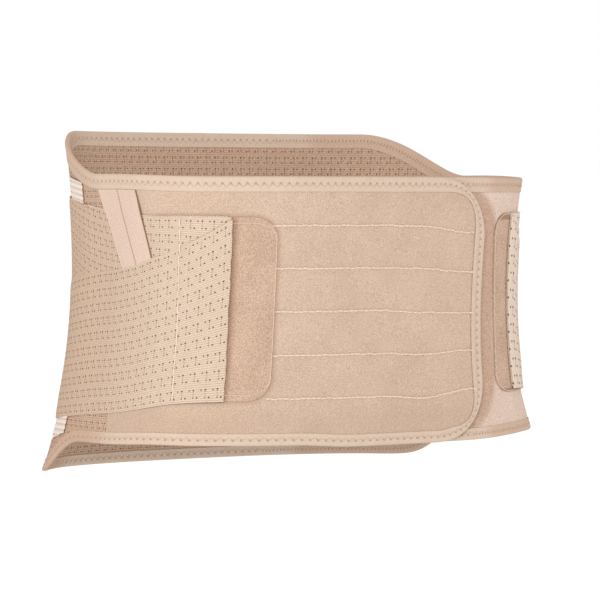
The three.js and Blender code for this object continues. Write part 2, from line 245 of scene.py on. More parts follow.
floor_mesh = bmesh.new()
bmesh.ops.create_grid(floor_mesh, x_segments=1, y_segments=1, size=FLOOR_SIZE)
bmesh.ops.translate(floor_mesh, verts=floor_mesh.verts, vec=(0.0, 0.0, FLOOR_LEVEL))
floor = keep_mesh("floor", floor_mesh)
paint = bpy.data.materials.new("floor_paint")
paint.use_nodes = True
painted = paint.node_tree.nodes["Principled BSDF"].inputs
painted["Base Color"].default_value = FLOOR_GREY
painted["Emission Color"].default_value = WHITE
painted["Emission Strength"].default_value = FLOOR_GLOW
painted["Specular IOR Level"].default_value = 0.0
floor.data.materials.append(paint)
print("floor at, m:", FLOOR_LEVEL)

# %% [markdown]
# Cloth is laid as a grid.
# The grid operator gives evenly numbered columns and rows, and each vertex is then carried to its place.
# Its flat place is kept in a UV map named pattern, in mm, so that weave and holes follow the cloth.
# A Solidify modifier gives the thickness inward, and a small Bevel takes the sharpness off the cut edges.

# %% Cloth helper
BEVEL_ANGLE = math.radians(70.0)
SAME_PLACE = 1e-7


def spread(start, end, pitch):
    count = max(1, round(abs(end - start) / pitch))
    return [between(start, end, i / count) for i in range(count + 1)]


def laid_grid(columns, rows, place, welded=False):
    made = bmesh.new()
    bmesh.ops.create_grid(made, x_segments=columns, y_segments=rows, size=0.5)
    pattern = made.loops.layers.uv.new("pattern")
    flat = {}
    for vert in made.verts:
        column = round((vert.co.x + 0.5) * columns)
        row = round((vert.co.y + 0.5) * rows)
        vert.co, flat[vert] = place(column, row)
    for face in made.faces:
        for loop in face.loops:
            loop[pattern].uv = flat[loop.vert]
    if welded:
        bmesh.ops.remove_doubles(made, verts=made.verts, dist=SAME_PLACE)
    made.normal_update()
    return made


def cloth(name, columns, rows, place, thickness, rounded=0.25, welded=False, outer_face=0):
    made = laid_grid(columns, rows, place, welded)
    made.faces.ensure_lookup_table()
    shown = made.faces[outer_face]
    middle = shown.calc_center_median()
    if shown.normal.x * middle.x + shown.normal.y * middle.y < 0.0:
        bmesh.ops.reverse_faces(made, faces=made.faces)
    piece = keep_mesh(name, made)
    piece.data.shade_smooth()
    wall = piece.modifiers.new("thickness", "SOLIDIFY")
    wall.thickness = thickness * MM
    wall.offset = -1.0
    edge = piece.modifiers.new("cut_edge", "BEVEL")
    edge.width = rounded * MM
    edge.segments = 2
    edge.limit_method = "ANGLE"
    edge.angle_limit = BEVEL_ANGLE
    edge.harden_normals = True
    return piece


print("columns in a 10 mm strip at 2.5 mm:", len(spread(0.0, 10.0, 2.5)) - 1)

# %% [markdown]
# Every finished piece is handed to the frame: it rides on the root body and stands for one of the solids.

# %% Handing pieces to the frame


def dress(piece, material, node=None):
    piece.data.materials.append(material)
    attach(piece, "root")
    if node:
        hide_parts(node)
    return piece


# %% [markdown]
# Thread is a thin tube that runs along a path and dips under the cloth at each needle hole.
# The same grid operator makes it: one side of the grid goes round the thread and is welded to the other.
# Its two ends draw in to a point and are welded shut.

# %% Thread helper
THREAD_SIDES = 5


def thread_tube(path, thickness):
    last = len(path) - 1

    def place(column, row):
        centre, outward = path[column]
        run = path[min(last, column + 1)][0] - path[max(0, column - 1)][0]
        across = run.cross(outward).normalized()
        turn = row / THREAD_SIDES * math.tau
        size = 0.0 if column in (0, last) else thickness / 2.0 * MM
        return centre + (across * math.cos(turn) + outward * math.sin(turn)) * size, (column, row)

    made = laid_grid(last, THREAD_SIDES, place, welded=True)
    bmesh.ops.recalc_face_normals(made, faces=made.faces)
    return made


def threads(name, paths, thickness):
    joined = bmesh.new()
    for path in paths:
        made = thread_tube(path, thickness)
        part = bpy.data.meshes.new("thread")
        made.to_mesh(part)
        made.free()
        joined.from_mesh(part)
        bpy.data.meshes.remove(part)
    print(name, "rows:", len(paths), "faces:", len(joined.faces))
    piece = keep_mesh(name, joined)
    piece.data.shade_smooth()
    return piece


def spot(place, s, z, lift, outward=1.0):
    """A point of a path and the direction out of the cloth there."""
    centre = place(s, z, lift)
    return centre, (place(s, z, lift + outward) - centre).normalized()


print("sides of a thread:", THREAD_SIDES)

# %% [markdown]
# Finishes are built from nodes, and a few short helpers keep the node trees readable.
# A value may be a plain number or another node's output, and feed sets the one or links the other.

# %% Node helpers


def node(tree, kind, **settings):
    made = tree.nodes.new(kind)
    for name, value in settings.items():
        setattr(made, name, value)
    return made


def feed(tree, socket, value):
    if isinstance(value, bpy.types.NodeSocket):
        tree.links.new(value, socket)
    else:
        socket.default_value = value


def fed(tree, kind, values, **settings):
    made = node(tree, kind, **settings)
    for socket, value in zip(made.inputs, values):
        feed(tree, socket, value)
    return made.outputs


def sums(tree, operation, *values):
    return fed(tree, "ShaderNodeMath", values, operation=operation)[0]


def vectors(tree, operation, *values):
    made = fed(tree, "ShaderNodeVectorMath", values, operation=operation)
    return made["Value" if operation == "LENGTH" else "Vector"]


def split(tree, vector):
    return fed(tree, "ShaderNodeSeparateXYZ", [vector])


def times(tree, first, second):
    return sums(tree, "MULTIPLY", first, second)


def apart(tree, first, second):
    return sums(tree, "ABSOLUTE", sums(tree, "SUBTRACT", first, second))


def past(tree, value, limit):
    return sums(tree, "MAXIMUM", sums(tree, "SUBTRACT", value, limit), 0.0)


def ease(tree, value, start, end, low=0.0, high=1.0):
    values = (value, start, end, low, high)
    return fed(tree, "ShaderNodeMapRange", values, interpolation_type="SMOOTHSTEP")["Result"]


print("node helpers:", [helper.__name__ for helper in (node, feed, fed, sums, vectors, split, times, apart,
                                                       past, ease)])

# %% [markdown]
# Colours are named by how they look under the studio light, which adds about two fifths to each.
# An effect that several cloths share is a node group, placed in each material with its own values.

# %% Colours and groups
LIGHT_LEVEL = 1.38


def tone(red, green, blue):
    """A colour by its screen values, turned into linear light, less what the lamps add."""
    lit = [((c / 255.0 + 0.055) / 1.055) ** 2.4 for c in (red, green, blue)]
    return (*[c / LIGHT_LEVEL for c in lit], 1.0)


def mixed(tree, share, first, second):
    made = node(tree, "ShaderNodeMix", data_type="RGBA")
    for index, value in ((0, share), (6, first), (7, second)):
        feed(tree, made.inputs[index], value)
    return made.outputs[2]


def effect(name, inputs, outputs):
    group = bpy.data.node_groups.new(name, "ShaderNodeTree")
    for label, kind in inputs:
        group.interface.new_socket(label, in_out="INPUT", socket_type="NodeSocket" + kind)
    for label in outputs:
        group.interface.new_socket(label, in_out="OUTPUT", socket_type="NodeSocketFloat")
    return group, node(group, "NodeGroupInput").outputs, node(group, "NodeGroupOutput").inputs


def use(tree, group, **inputs):
    made = node(tree, "ShaderNodeGroup", node_tree=group)
    for label, value in inputs.items():
        feed(tree, made.inputs[label], value)
    return made.outputs


print("white cloth before the light:", [round(c, 3) for c in tone(255, 255, 255)])

# %% [markdown]
# Nap is the soft, slightly blotchy surface that every brushed cloth shows.
# Two sizes of noise are enough: fibres about a millimetre long, and patches where the pile lies differently.

# %% Nap group
nap, nap_in, nap_out = effect("nap", [("Place", "Vector"), ("Fibre", "Float"), ("Patch", "Float")],
                              ["Fibres", "Patches"])
for scale, result, detail in (("Fibre", "Fibres", 3.0), ("Patch", "Patches", 2.0)):
    grain = node(nap, "ShaderNodeTexNoise")
    feed(nap, grain.inputs["Vector"], nap_in["Place"])
    feed(nap, grain.inputs["Scale"], sums(nap, "DIVIDE", 1.0 / MM, nap_in[scale]))
    feed(nap, grain.inputs["Detail"], detail)
    feed(nap, nap_out[result], grain.outputs["Fac"])
print("group:", nap.name, "nodes:", len(nap.nodes))

# %% [markdown]
# The side straps and the back are an open elastic knit: fine ribs with a stepped row of eyelets.
# Each repeat has two eyelets side by side, a ladder of tiny ones below the second, and two more lower down.
# The group folds the pattern into one repeat and measures the distance to each eyelet.

# %% Eyelet knit group
# Each eyelet: place across and up the repeat, radius in mm, depth
EYELETS = ((0.10, 0.72, 0.55, 0.85), (0.46, 0.73, 0.61, 1.0), (0.46, 0.62, 0.33, 0.5),
           (0.46, 0.51, 0.33, 0.5), (0.46, 0.40, 0.33, 0.5), (0.46, 0.28, 0.50, 0.8),
           (0.78, 0.28, 0.59, 1.0))
EYELET_RIM, EYELET_CORE = 1.15, 0.4
KNIT_RIB = 1.52
KNIT_INPUTS = [("Pattern", "Vector"), ("Repeat", "Vector"), ("Open", "Float")]
knit, knit_in, knit_out = effect("eyelet_knit", KNIT_INPUTS, ["Eyelets", "Ribs"])
folded = vectors(knit, "FRACTION", vectors(knit, "DIVIDE", knit_in["Pattern"], knit_in["Repeat"]))
holes = 0.0
for right, up, radius, depth in EYELETS:
    away = vectors(knit, "MULTIPLY", vectors(knit, "SUBTRACT", folded, (right, up, 0.0)), knit_in["Repeat"])
    flat_away = vectors(knit, "LENGTH", vectors(knit, "MULTIPLY", away, (1.0, 1.0, 0.0)))
    opened = sums(knit, "DIVIDE", flat_away, knit_in["Open"])
    hole = ease(knit, opened, radius * EYELET_RIM, radius * EYELET_CORE, 0.0, depth)
    holes = sums(knit, "MAXIMUM", holes, hole)
feed(knit, knit_out["Eyelets"], holes)
wave = sums(knit, "SINE", times(knit, split(knit, knit_in["Pattern"])["Y"], math.tau / KNIT_RIB))
feed(knit, knit_out["Ribs"], sums(knit, "MULTIPLY_ADD", wave, 0.5, 0.5))
print("group:", knit.name, "nodes:", len(knit.nodes))

# %% [markdown]
# The folded tape is sewn with a zigzag, and the needle pulls a slanted pucker into the tape at every stitch.
# The group draws those puckers from the tape's own pattern, where Y is the distance from the fold; the tape
# paints shade into them and dents its bump there.

# %% Pucker marks and painted shade group
ZIGZAG_PITCH, ZIGZAG_REACH = 5.3, 1.6
SEW_LINE, FOLD_TAKES = 5.0, 1.9
MARK_EDGE, MARK_CORE, MARK_END = 1.0, 0.3, 0.6
TIP_EDGE, TIP_CORE, LEG_SHARE = 1.3, 0.45, 0.12
needle, needle_in, needle_out = effect("pucker_marks_and_shade", [("Pattern", "Vector")], ["Marks"])
run = split(needle, needle_in["Pattern"])
from_fold = sums(needle, "ABSOLUTE", run["Y"])
leg = sums(needle, "PINGPONG", run["X"], ZIGZAG_PITCH / 2.0)
line = sums(needle, "MULTIPLY_ADD", leg, 4.0 * ZIGZAG_REACH / ZIGZAG_PITCH,
            SEW_LINE + FOLD_TAKES - ZIGZAG_REACH)
on_line = ease(needle, apart(needle, from_fold, line), MARK_EDGE, MARK_CORE)
within = ease(needle, apart(needle, from_fold, SEW_LINE + FOLD_TAKES), ZIGZAG_REACH + MARK_END, ZIGZAG_REACH)
tips = ease(needle, leg, TIP_EDGE, TIP_CORE, LEG_SHARE, 1.0)
feed(needle, needle_out["Marks"], times(needle, tips, times(needle, on_line, within)))
print("group:", needle.name, "nodes:", len(needle.nodes))

# %% [markdown]
# Where the free edge of one cloth lies on another, a painted shadow darkens the cloth beside it.
# The group measures how far a place is outside a rounded outline and fades the darkening over a given reach.
# Corner holds the place of the outline's end, its middle height and half its straight height.

# %% Painted edge shadow group
BAND_RISE = 1.5
BAND_INPUTS = [("Pattern", "Vector"), ("Corner", "Vector"), ("Radius", "Float"), ("Lean", "Float"),
               ("Inner", "Float"), ("Full", "Float"), ("Reach", "Float")]
edge_shadow, band_in, band_out = effect("painted_edge_shadow", BAND_INPUTS, ["Band"])
at = split(edge_shadow, band_in["Pattern"])
core = split(edge_shadow, band_in["Corner"])
upright = sums(edge_shadow, "SUBTRACT", at["X"], times(edge_shadow, at["Y"], band_in["Lean"]))
ahead = past(edge_shadow, upright, core["X"])
beyond = past(edge_shadow, apart(edge_shadow, at["Y"], core["Y"]), core["Z"])
reached = sums(edge_shadow, "SQRT", sums(edge_shadow, "MULTIPLY_ADD", ahead, ahead, times(edge_shadow, beyond, beyond)))
outside = sums(edge_shadow, "SUBTRACT", reached, band_in["Radius"])
fade = ease(edge_shadow, outside, band_in["Reach"], band_in["Full"])
rise = ease(edge_shadow, outside, band_in["Inner"], sums(edge_shadow, "ADD", band_in["Inner"], BAND_RISE))
feed(edge_shadow, band_out["Band"], times(edge_shadow, fade, rise))
print("group:", edge_shadow.name, "nodes:", len(edge_shadow.nodes))

# %% [markdown]
# One builder makes every cloth material: nap in the colour and the bump, and whatever else that cloth adds.
# Extra layers are pairs of a mask and the colour that shows through it.
# Extra heights are pairs of a mask and a rise in mm.

# %% Cloth material builder
SOFT_SHINE = 0.15
PATCH_SHARE, FIBRE_SHARE = 0.3, 1.4
NAP_SHADE, NAP_LIGHT = 0.63, 1.07


def cloth_material(name, colour, shade, fibre, patch, relief, rough, layers=None, heights=None):
    material = bpy.data.materials.new(name)
    material.use_nodes = True
    tree = material.node_tree
    shader = tree.nodes["Principled BSDF"]
    shader.inputs["Roughness"].default_value = rough
    shader.inputs["Specular IOR Level"].default_value = SOFT_SHINE
    place = node(tree, "ShaderNodeTexCoord").outputs["Object"]
    flat = node(tree, "ShaderNodeUVMap", uv_map="pattern").outputs["UV"]
    pile = use(tree, nap, Place=place, Fibre=fibre, Patch=patch)
    share = sums(tree, "MULTIPLY_ADD", pile["Patches"], PATCH_SHARE, times(tree, pile["Fibres"], FIBRE_SHARE))
    base = mixed(tree, ease(tree, share, NAP_SHADE, NAP_LIGHT), shade, colour)
    height = times(tree, pile["Fibres"], relief)
    for mask, through in (layers(tree, flat, place) if layers else ()):
        base = mixed(tree, mask, base, through)
    for mask, amount in (heights(tree, flat, place) if heights else ()):
        height = sums(tree, "MULTIPLY_ADD", mask, amount, height)
    feed(tree, shader.inputs["Base Color"], base)
    bump = node(tree, "ShaderNodeBump")
    bump.inputs["Strength"].default_value = 1.0
    bump.inputs["Distance"].default_value = MM
    feed(tree, bump.inputs["Height"], height)
    feed(tree, shader.inputs["Normal"], bump.outputs["Normal"])
    return material


THREADS = {"thread": ((249, 229, 212), (235, 212, 193), 0.8),
           "seam_thread": ((254, 238, 222), (243, 224, 206), 0.6),
           "brown_shadow_thread": ((182, 140, 108), (162, 122, 92), 0.8),
           "tape_thread": ((230, 208, 190), (220, 195, 176), 0.7),
           "hook_thread": ((243, 218, 199), (229, 200, 179), 0.8)}
yarn = {name: cloth_material(name, tone(*light), tone(*dark), fibre=0.6, patch=6.0, relief=0.1, rough=rough)
        for name, (light, dark, rough) in THREADS.items()}
print("threads:", list(yarn))

# %% [markdown]
# Velour has a short soft pile.
# Painted shadow darkens it beside the tab and beside the outer flap's end, and painted shade along the low
# hem.

# %% Velour
FLAP_SHADOW_OUTLINE, TAB_SHADOW_OUTLINE = (51.7 - GIRTH, -1.8, 42.2), (-105.2, 2.0, 47.0)
LOW_HEM_SHADE_RANGE, LOW_HEM_SHADE_SHARE = (-56.0, -76.0), 0.28
FLAP_SHADOW_SHARE, TAB_SHADOW_SHARE, PILE_RANGE = 0.88, 0.6, (0.36, 0.64)


# Painted shadow of the outer flap's end on the under panel, with the nap kept in it.
def flap_end_shadow(tree, flat, place):
    painted_shadow = use(tree, edge_shadow, Pattern=flat, Corner=FLAP_SHADOW_OUTLINE, Radius=44.0, Lean=0.06, Inner=-26.0, Full=-2.0,
               Reach=4.5)["Band"]
    pile = use(tree, nap, Place=place, Fibre=1.2, Patch=18.0)["Fibres"]
    pressed = mixed(tree, ease(tree, pile, *PILE_RANGE), tone(188, 153, 130), tone(214, 181, 158))
    return [(times(tree, painted_shadow, FLAP_SHADOW_SHARE), pressed)]


# Painted shadow beside the tab's free edge, and painted shade darker towards the low hem.
def tab_shadow_and_low_shade(tree, flat, place):
    painted_shadow = use(tree, edge_shadow, Pattern=flat, Corner=TAB_SHADOW_OUTLINE, Radius=15.0, Lean=0.02, Inner=-2.0,
               Reach=4.0)["Band"]
    low_hem_shade = ease(tree, split(tree, flat)["Y"], *LOW_HEM_SHADE_RANGE, 0.0, LOW_HEM_SHADE_SHARE)
    return [(times(tree, painted_shadow, TAB_SHADOW_SHARE), tone(194, 160, 135)), (low_hem_shade, tone(190, 161, 140))]


velour = cloth_material("velour", tone(229, 202, 181), tone(202, 174, 152), fibre=0.75, patch=30.0,
                        relief=0.3, rough=0.95, layers=tab_shadow_and_low_shade)
under_velour = cloth_material("under_velour", tone(238, 215, 200), tone(221, 196, 181), fibre=1.3, patch=18.0,
                              relief=0.3, rough=0.95, layers=flap_end_shadow)
print("velours:", velour.name, under_velour.name)

# %% [markdown]
# Hook cloth is a felt of tiny loops, and its pale flecks are a cell texture at the size of a loop.
# A painted shadow darkens it beside the strap's free edge.

# %% Hook cloth
LOOPS_A_METRE = 950.0
STRAP_SHADOW_OUTLINE, STRAP_SHADOW_SHARE = (-124.2, 2.0, 58.0), 0.85
LOOP_RANGE, LOOP_SHARE, LOOP_HEIGHT = (0.42, 0.10), 0.6, 0.5


def loops_of(tree, place):
    cells = node(tree, "ShaderNodeTexVoronoi", feature="F1")
    feed(tree, cells.inputs["Vector"], place)
    feed(tree, cells.inputs["Scale"], LOOPS_A_METRE)
    return ease(tree, cells.outputs["Distance"], *LOOP_RANGE, 0.0, LOOP_SHARE)


def hook_layers(tree, flat, place):
    # Painted shadow of the strap's free edge on the tab.
    painted_shadow = use(tree, edge_shadow, Pattern=flat, Corner=STRAP_SHADOW_OUTLINE, Radius=3.0, Lean=0.03, Inner=-2.0,
               Reach=7.5)["Band"]
    return [(loops_of(tree, place), tone(240, 212, 193)), (times(tree, painted_shadow, STRAP_SHADOW_SHARE), tone(172, 133, 106))]


def hook_heights(tree, flat, place):
    return [(loops_of(tree, place), LOOP_HEIGHT)]


hook_cloth = cloth_material("hook_cloth", tone(231, 199, 176), tone(189, 157, 134), fibre=0.62, patch=20.0,
                            relief=0.3, rough=0.95, layers=hook_layers, heights=hook_heights)
print("hook cloth nodes:", len(hook_cloth.node_tree.nodes))

# %% [markdown]
# The elastic knit and the back knit are the same weave; the back is browner and its repeat is smaller.
# Round the side the straps stretch, and the tan there is painted shade, where they turn from the light.
# The eyelets are pulled open there too, and most at the left front end.

# %% Eyelet knits
KNIT_REPEAT, BACK_REPEAT = (7.45, 11.4, 1.0), (7.2, 8.4, 1.0)
SIDE_STRETCH_AND_SHADE, LEFT_FRONT = (140.0, 262.0), (142.0 - GIRTH, 124.0 - GIRTH)
SIDE_OPEN, FRONT_OPEN, FRONT_PALE = 0.14, 0.45, 0.8
RIB_RANGE, RIB_SHARE, RIB_RISE, EYELET_SINK = (0.62, 0.0), 0.9, 0.14, -0.6
FLECK_RANGE, FLECK_SHARE = (0.5, 0.7), 0.55


def knit_weave(tree, flat, repeat, stretched_side_shade):
    side = front = None
    opened = 1.0
    if stretched_side_shade:
        run = split(tree, flat)
        side = ease(tree, sums(tree, "PINGPONG", run["X"], GIRTH / 2.0), *SIDE_STRETCH_AND_SHADE)
        front = ease(tree, run["X"], *LEFT_FRONT)
        opened = sums(tree, "MULTIPLY_ADD", front, FRONT_OPEN, 1.0)
        opened = sums(tree, "MULTIPLY_ADD", side, SIDE_OPEN, opened)
    return use(tree, knit, Pattern=flat, Repeat=repeat, Open=opened), side, front


def eyelet_cloth(name, colour, shade, dark, rib_shade, repeat, stretched_side_shade=None):
    def layers(tree, flat, place):
        weave, side, front = knit_weave(tree, flat, repeat, stretched_side_shade)
        found = [(ease(tree, weave["Ribs"], *RIB_RANGE, 0.0, RIB_SHARE), rib_shade)]
        if stretched_side_shade:
            # Round the side: painted shade, the tan where the straps turn from the light.
            found.insert(0, (side, stretched_side_shade))
            found.append((times(tree, front, FRONT_PALE), tone(243, 224, 208)))
        loops = use(tree, nap, Place=place, Fibre=0.6, Patch=14.0)["Fibres"]
        found.append((ease(tree, loops, *FLECK_RANGE, 0.0, FLECK_SHARE), tone(247, 231, 214)))
        # The dark in each eyelet is painted shade of the cloth seen through the hole.
        return found + [(weave["Eyelets"], dark)]

    def heights(tree, flat, place):
        weave = knit_weave(tree, flat, repeat, stretched_side_shade)[0]
        return [(weave["Ribs"], RIB_RISE), (weave["Eyelets"], EYELET_SINK)]

    return cloth_material(name, colour, shade, fibre=0.8, patch=14.0, relief=0.15, rough=0.9,
                          layers=layers, heights=heights)


elastic = eyelet_cloth("elastic", tone(233, 213, 193), tone(223, 200, 178), dark=tone(106, 76, 51),
                       rib_shade=tone(199, 170, 145), repeat=KNIT_REPEAT, stretched_side_shade=tone(216, 185, 161))
back_knit = eyelet_cloth("back_knit", tone(214, 181, 157), tone(202, 169, 145), dark=tone(118, 88, 68),
                         rib_shade=tone(180, 146, 122), repeat=BACK_REPEAT)
print("knits:", elastic.name, back_knit.name)

# %% [markdown]
# The edge tape is a fine knit with the zigzag's puckers; painted shade makes it browner round the side and on
# the left.
# The under flap's tape was sewn with stitches half as long, so there the pattern runs twice as fast.

# %% Edge tape
TAPE_SHADE_LEFT, TAPE_SHADE_SIDE, SIDE_TILT = (0.080, 0.094), (-0.015, 0.025), -0.15
TAPE_SHADE_RIGHT, TAPE_SHADE_DEPTH = (-0.11, -0.14), (-0.05, 0.05)
TAPE_SHADE_LEFT_SHARE, TAPE_SHADE_LOW, TAPE_SHADE_HIGH = 0.45, 0.72, 0.42
FLAP_EDGE, FLAP_CORNER, CORNER_TILT = 0.0805, 0.05, 0.35
PUCKER = -0.3


def pucker_marks_and_shade(tree, flat, place):
    where, run = split(tree, place), split(tree, flat)
    corner = past(tree, sums(tree, "ABSOLUTE", where["Z"]), FLAP_CORNER)
    past_flap = sums(tree, "MULTIPLY_ADD", corner, CORNER_TILT, where["X"])
    pace = sums(tree, "ADD", sums(tree, "GREATER_THAN", past_flap, FLAP_EDGE), 1.0)
    finer = fed(tree, "ShaderNodeCombineXYZ", [times(tree, run["X"], pace), run["Y"]])[0]
    return use(tree, needle, Pattern=finer)["Marks"]


def tape_layers(tree, flat, place):
    where = split(tree, place)
    # Painted shade on the tape round the side and on the left, where it lies in shadow.
    on_left_end = ease(tree, where["X"], *TAPE_SHADE_LEFT, 0.0, TAPE_SHADE_LEFT_SHARE)
    round_side = ease(tree, sums(tree, "MULTIPLY_ADD", where["Z"], SIDE_TILT, where["Y"]), *TAPE_SHADE_SIDE)
    on_right = times(tree, round_side, ease(tree, where["X"], *TAPE_SHADE_RIGHT))
    on_right = times(tree, on_right, ease(tree, where["Z"], *TAPE_SHADE_DEPTH, TAPE_SHADE_LOW, TAPE_SHADE_HIGH))
    tape_shade = sums(tree, "MAXIMUM", on_left_end, on_right)
    # The puckers' colour is painted shade, and their dents are in the bump.
    return [(tape_shade, tone(203, 166, 141)), (pucker_marks_and_shade(tree, flat, place), tone(191, 160, 137))]


def tape_heights(tree, flat, place):
    return [(pucker_marks_and_shade(tree, flat, place), PUCKER)]


edge_tape = cloth_material("edge_tape", tone(227, 205, 186), tone(218, 194, 174), fibre=0.7, patch=10.0,
                           relief=0.12, rough=0.85, layers=tape_layers, heights=tape_heights)
print("edge tape nodes:", len(edge_tape.node_tree.nodes))

# %% [markdown]
# A painted shadow darkens the front tape's front edge.
# The guide tapes are a pink twill ribbon: bent ribs across it, and a brown line where the two tapes meet.
# Both share one pattern; the front tape's X starts where the rear tape's ends.

# %% Ribbon
RIB_PITCH, RIBBON_WIDTH, RIB_BEND = 1.7, 18.0, 1.5
RIBBON_SHADOW_EDGE, MEETING_RANGE, TWILL_RANGE = (34.6, 35.4), (1.1, 0.2), (0.3, -1.0)
TWILL_SHARE, MEETING_SHARE = 0.85, 0.9


def twill_layers(tree, flat, place):
    run = split(tree, flat)
    slant = sums(tree, "ADD", run["Y"], sums(tree, "PINGPONG", run["X"], RIB_BEND))
    ribs = ease(tree, sums(tree, "SINE", times(tree, slant, math.tau / RIB_PITCH)), *TWILL_RANGE)
    meeting = ease(tree, apart(tree, run["X"], RIBBON_WIDTH), *MEETING_RANGE)
    # Painted shadow along the front tape's front edge.
    front = ease(tree, run["X"], *RIBBON_SHADOW_EDGE)
    return [(times(tree, ribs, TWILL_SHARE), tone(208, 176, 157)),
            (times(tree, meeting, MEETING_SHARE), tone(206, 172, 144)), (front, tone(150, 112, 86))]


ribbon = cloth_material("ribbon", tone(244, 220, 205), tone(232, 205, 189), fibre=0.6, patch=9.0, relief=0.10,
                        rough=0.75, layers=twill_layers)
print("materials:", len(bpy.data.materials))

# %% [markdown]
# The belt's outline is level across the front, higher and lower at the back, with rounded free ends.
# Its two long edges are functions of s, so that panels, tape and stitches all follow one line.

# %% Outline of the belt
OUTER_END, UNDER_END = 76.2, -45.0 - GIRTH
END_CORNER, END_SLANT = 44.0, 0.045
FRONT_TOP, SIDE_RISE, BACK_RISE = 90.4, 2.1, 31.5
SIDE_CLIMB, BACK_CLIMB = (130.0, 220.0), (236.0, 330.0)
FRONT_BOTTOM, BACK_FALL = -91.0, 26.0
FALL_START, FALL_LENGTH, FALL_POWER = 230.0, 46.0, 3.2
LEFT_DRAWN, RIGHT_DRAWN = 2.8, 2.0
DRAWN_RISE, DRAWN_FALL = (-215.0, -160.0), (-75.0, -35.0)
LEAN_FAR, LEAN_NEAR, LEAN_HEIGHT, LEAN_REACH = 90.0, 40.0, 75.0, 47.0


def top_line(s):
    around = from_front(s)
    return FRONT_TOP + SIDE_RISE * smooth(*SIDE_CLIMB, around) + BACK_RISE * smooth(*BACK_CLIMB, around)


def bottom_line(s):
    fall = 1.0 - math.exp(-((max(0.0, from_front(s) - FALL_START) / FALL_LENGTH) ** FALL_POWER))
    drawn_up = LEFT_DRAWN * on_left(s) + RIGHT_DRAWN * hill(DRAWN_RISE, DRAWN_FALL, s)
    return FRONT_BOTTOM - BACK_FALL * fall + drawn_up


def leaned(s, z):
    """The free ends lean: the top of each reaches further than the bottom."""
    outer = smooth(OUTER_END - LEAN_FAR, OUTER_END - LEAN_NEAR, s)
    under = fading(UNDER_END + LEAN_NEAR, UNDER_END + LEAN_FAR, s)
    level = (2.0 * smooth(-LEAN_HEIGHT, LEAN_HEIGHT, z) - 1.0) * LEAN_REACH
    return s + END_SLANT * level * (outer - under)


for label, s in (("front", 0.0), ("back", GIRTH / 2.0)):
    print(label, "height, mm:", round(top_line(s) - bottom_line(s), 1))

# %% [markdown]
# The outer flap is a double layer of velour, sewn through in five long rows.
# The rows pull the cloth down into shallow channels and let it swell a little between them.
# The channels are shaped in the mesh, because a bump alone would vanish at the flap's edge.

# %% Sewn rows of the flap
ROW_STOPS = (-95.0, -10.0, 19.0, 63.0)
SEWN_ROWS = ((58.3, 58.3, 57.5, 53.0), (29.2, 29.2, 28.5, 25.5), (0.0, 0.0, -2.0, -3.0),
             (-29.5, -29.5, -31.0, -29.0), (-58.7, -58.7, -61.0, -56.0))
CHANNEL_DEPTH, CHANNEL_WIDTH = 0.5, 2.6
CHANNEL_RISE, CHANNEL_FALL = (-104.0, -94.0), (64.0, 70.0)


def row_level(row, s):
    k = 0
    while k < len(ROW_STOPS) - 2 and ROW_STOPS[k + 1] < s:
        k += 1
    return between(row[k], row[k + 1], smooth(ROW_STOPS[k], ROW_STOPS[k + 1], s))


def channels(s, z):
    near = min(abs(z - row_level(row, s)) for row in SEWN_ROWS)
    return -CHANNEL_DEPTH * math.exp(-((near / CHANNEL_WIDTH) ** 2)) * hill(CHANNEL_RISE, CHANNEL_FALL, s)


print("sewn rows:", len(SEWN_ROWS), "channel at the middle, mm:", round(channels(0.0, 0.0), 2))

# %% [markdown]
# Both front panels are cut alike: a slanting seam at the side and a free end with two round corners.
# The columns crowd toward the end, so that the corners stay round.
# Each column runs from the bottom line to the top line, which it finds in a few tries because it leans.

# %% Velour front panels
PANEL, SEAM_GAP = 2.4, 0.4
PANEL_SEAM, SEAM_SLANT, SEAM_REACH = 222.0, 0.148, 150.0
PANEL_PITCH, FRONT_ROWS, CORNER_STEPS, TRIES = 3.5, 110, 16, 6
QUARTER = math.pi / 2.0 / CORNER_STEPS


def corner_drop(distance, radius):
    inside = max(0.0, radius - distance)
    return radius - math.sqrt(radius * radius - inside * inside)


def column_end(line, shifted):
    z = line(shifted(0.0))
    for step in range(TRIES):
        z = line(shifted(z))
    return z


def front_panel(name, seam, end, relief):
    sign = math.copysign(1.0, end - seam)
    columns = spread(seam, end - sign * END_CORNER, PANEL_PITCH)
    for step in range(1, CORNER_STEPS + 1):
        columns.append(end - sign * END_CORNER * (1.0 - math.sin(step * QUARTER)))

    def place(column, row):
        s = columns[column]
        drop = corner_drop(abs(end - s), END_CORNER)
        to_seam = fading(0.0, SEAM_REACH, abs(s - seam))

        def shifted(z):
            return leaned(s, z) + sign * to_seam * (SEAM_GAP / 2.0 - SEAM_SLANT * z)

        low, high = column_end(bottom_line, shifted) + drop, column_end(top_line, shifted) - drop
        z = between(low, high, row / FRONT_ROWS)
        return on_strip(shifted(z), z, PANEL + relief(shifted(z), z)), (shifted(z), z)

    return cloth(name, len(columns) - 1, FRONT_ROWS, place, PANEL)


flap = dress(front_panel("velour_flap", -PANEL_SEAM, OUTER_END, channels),
             velour, "front_panel_right")
under_flap = dress(front_panel("velour_under_flap", PANEL_SEAM - GIRTH, UNDER_END, lambda s, z: 0.0),
                   under_velour, "front_panel_left")
print("velour faces:", len(flap.data.polygons), "and", len(under_flap.data.polygons))

# %% [markdown]
# The back is one wide piece of the brown knit, joined to the two velour panels at slanting seams.

# %% Back panel
BACK_ROWS = 64
back_columns = spread(PANEL_SEAM - GIRTH, -PANEL_SEAM, PANEL_PITCH)


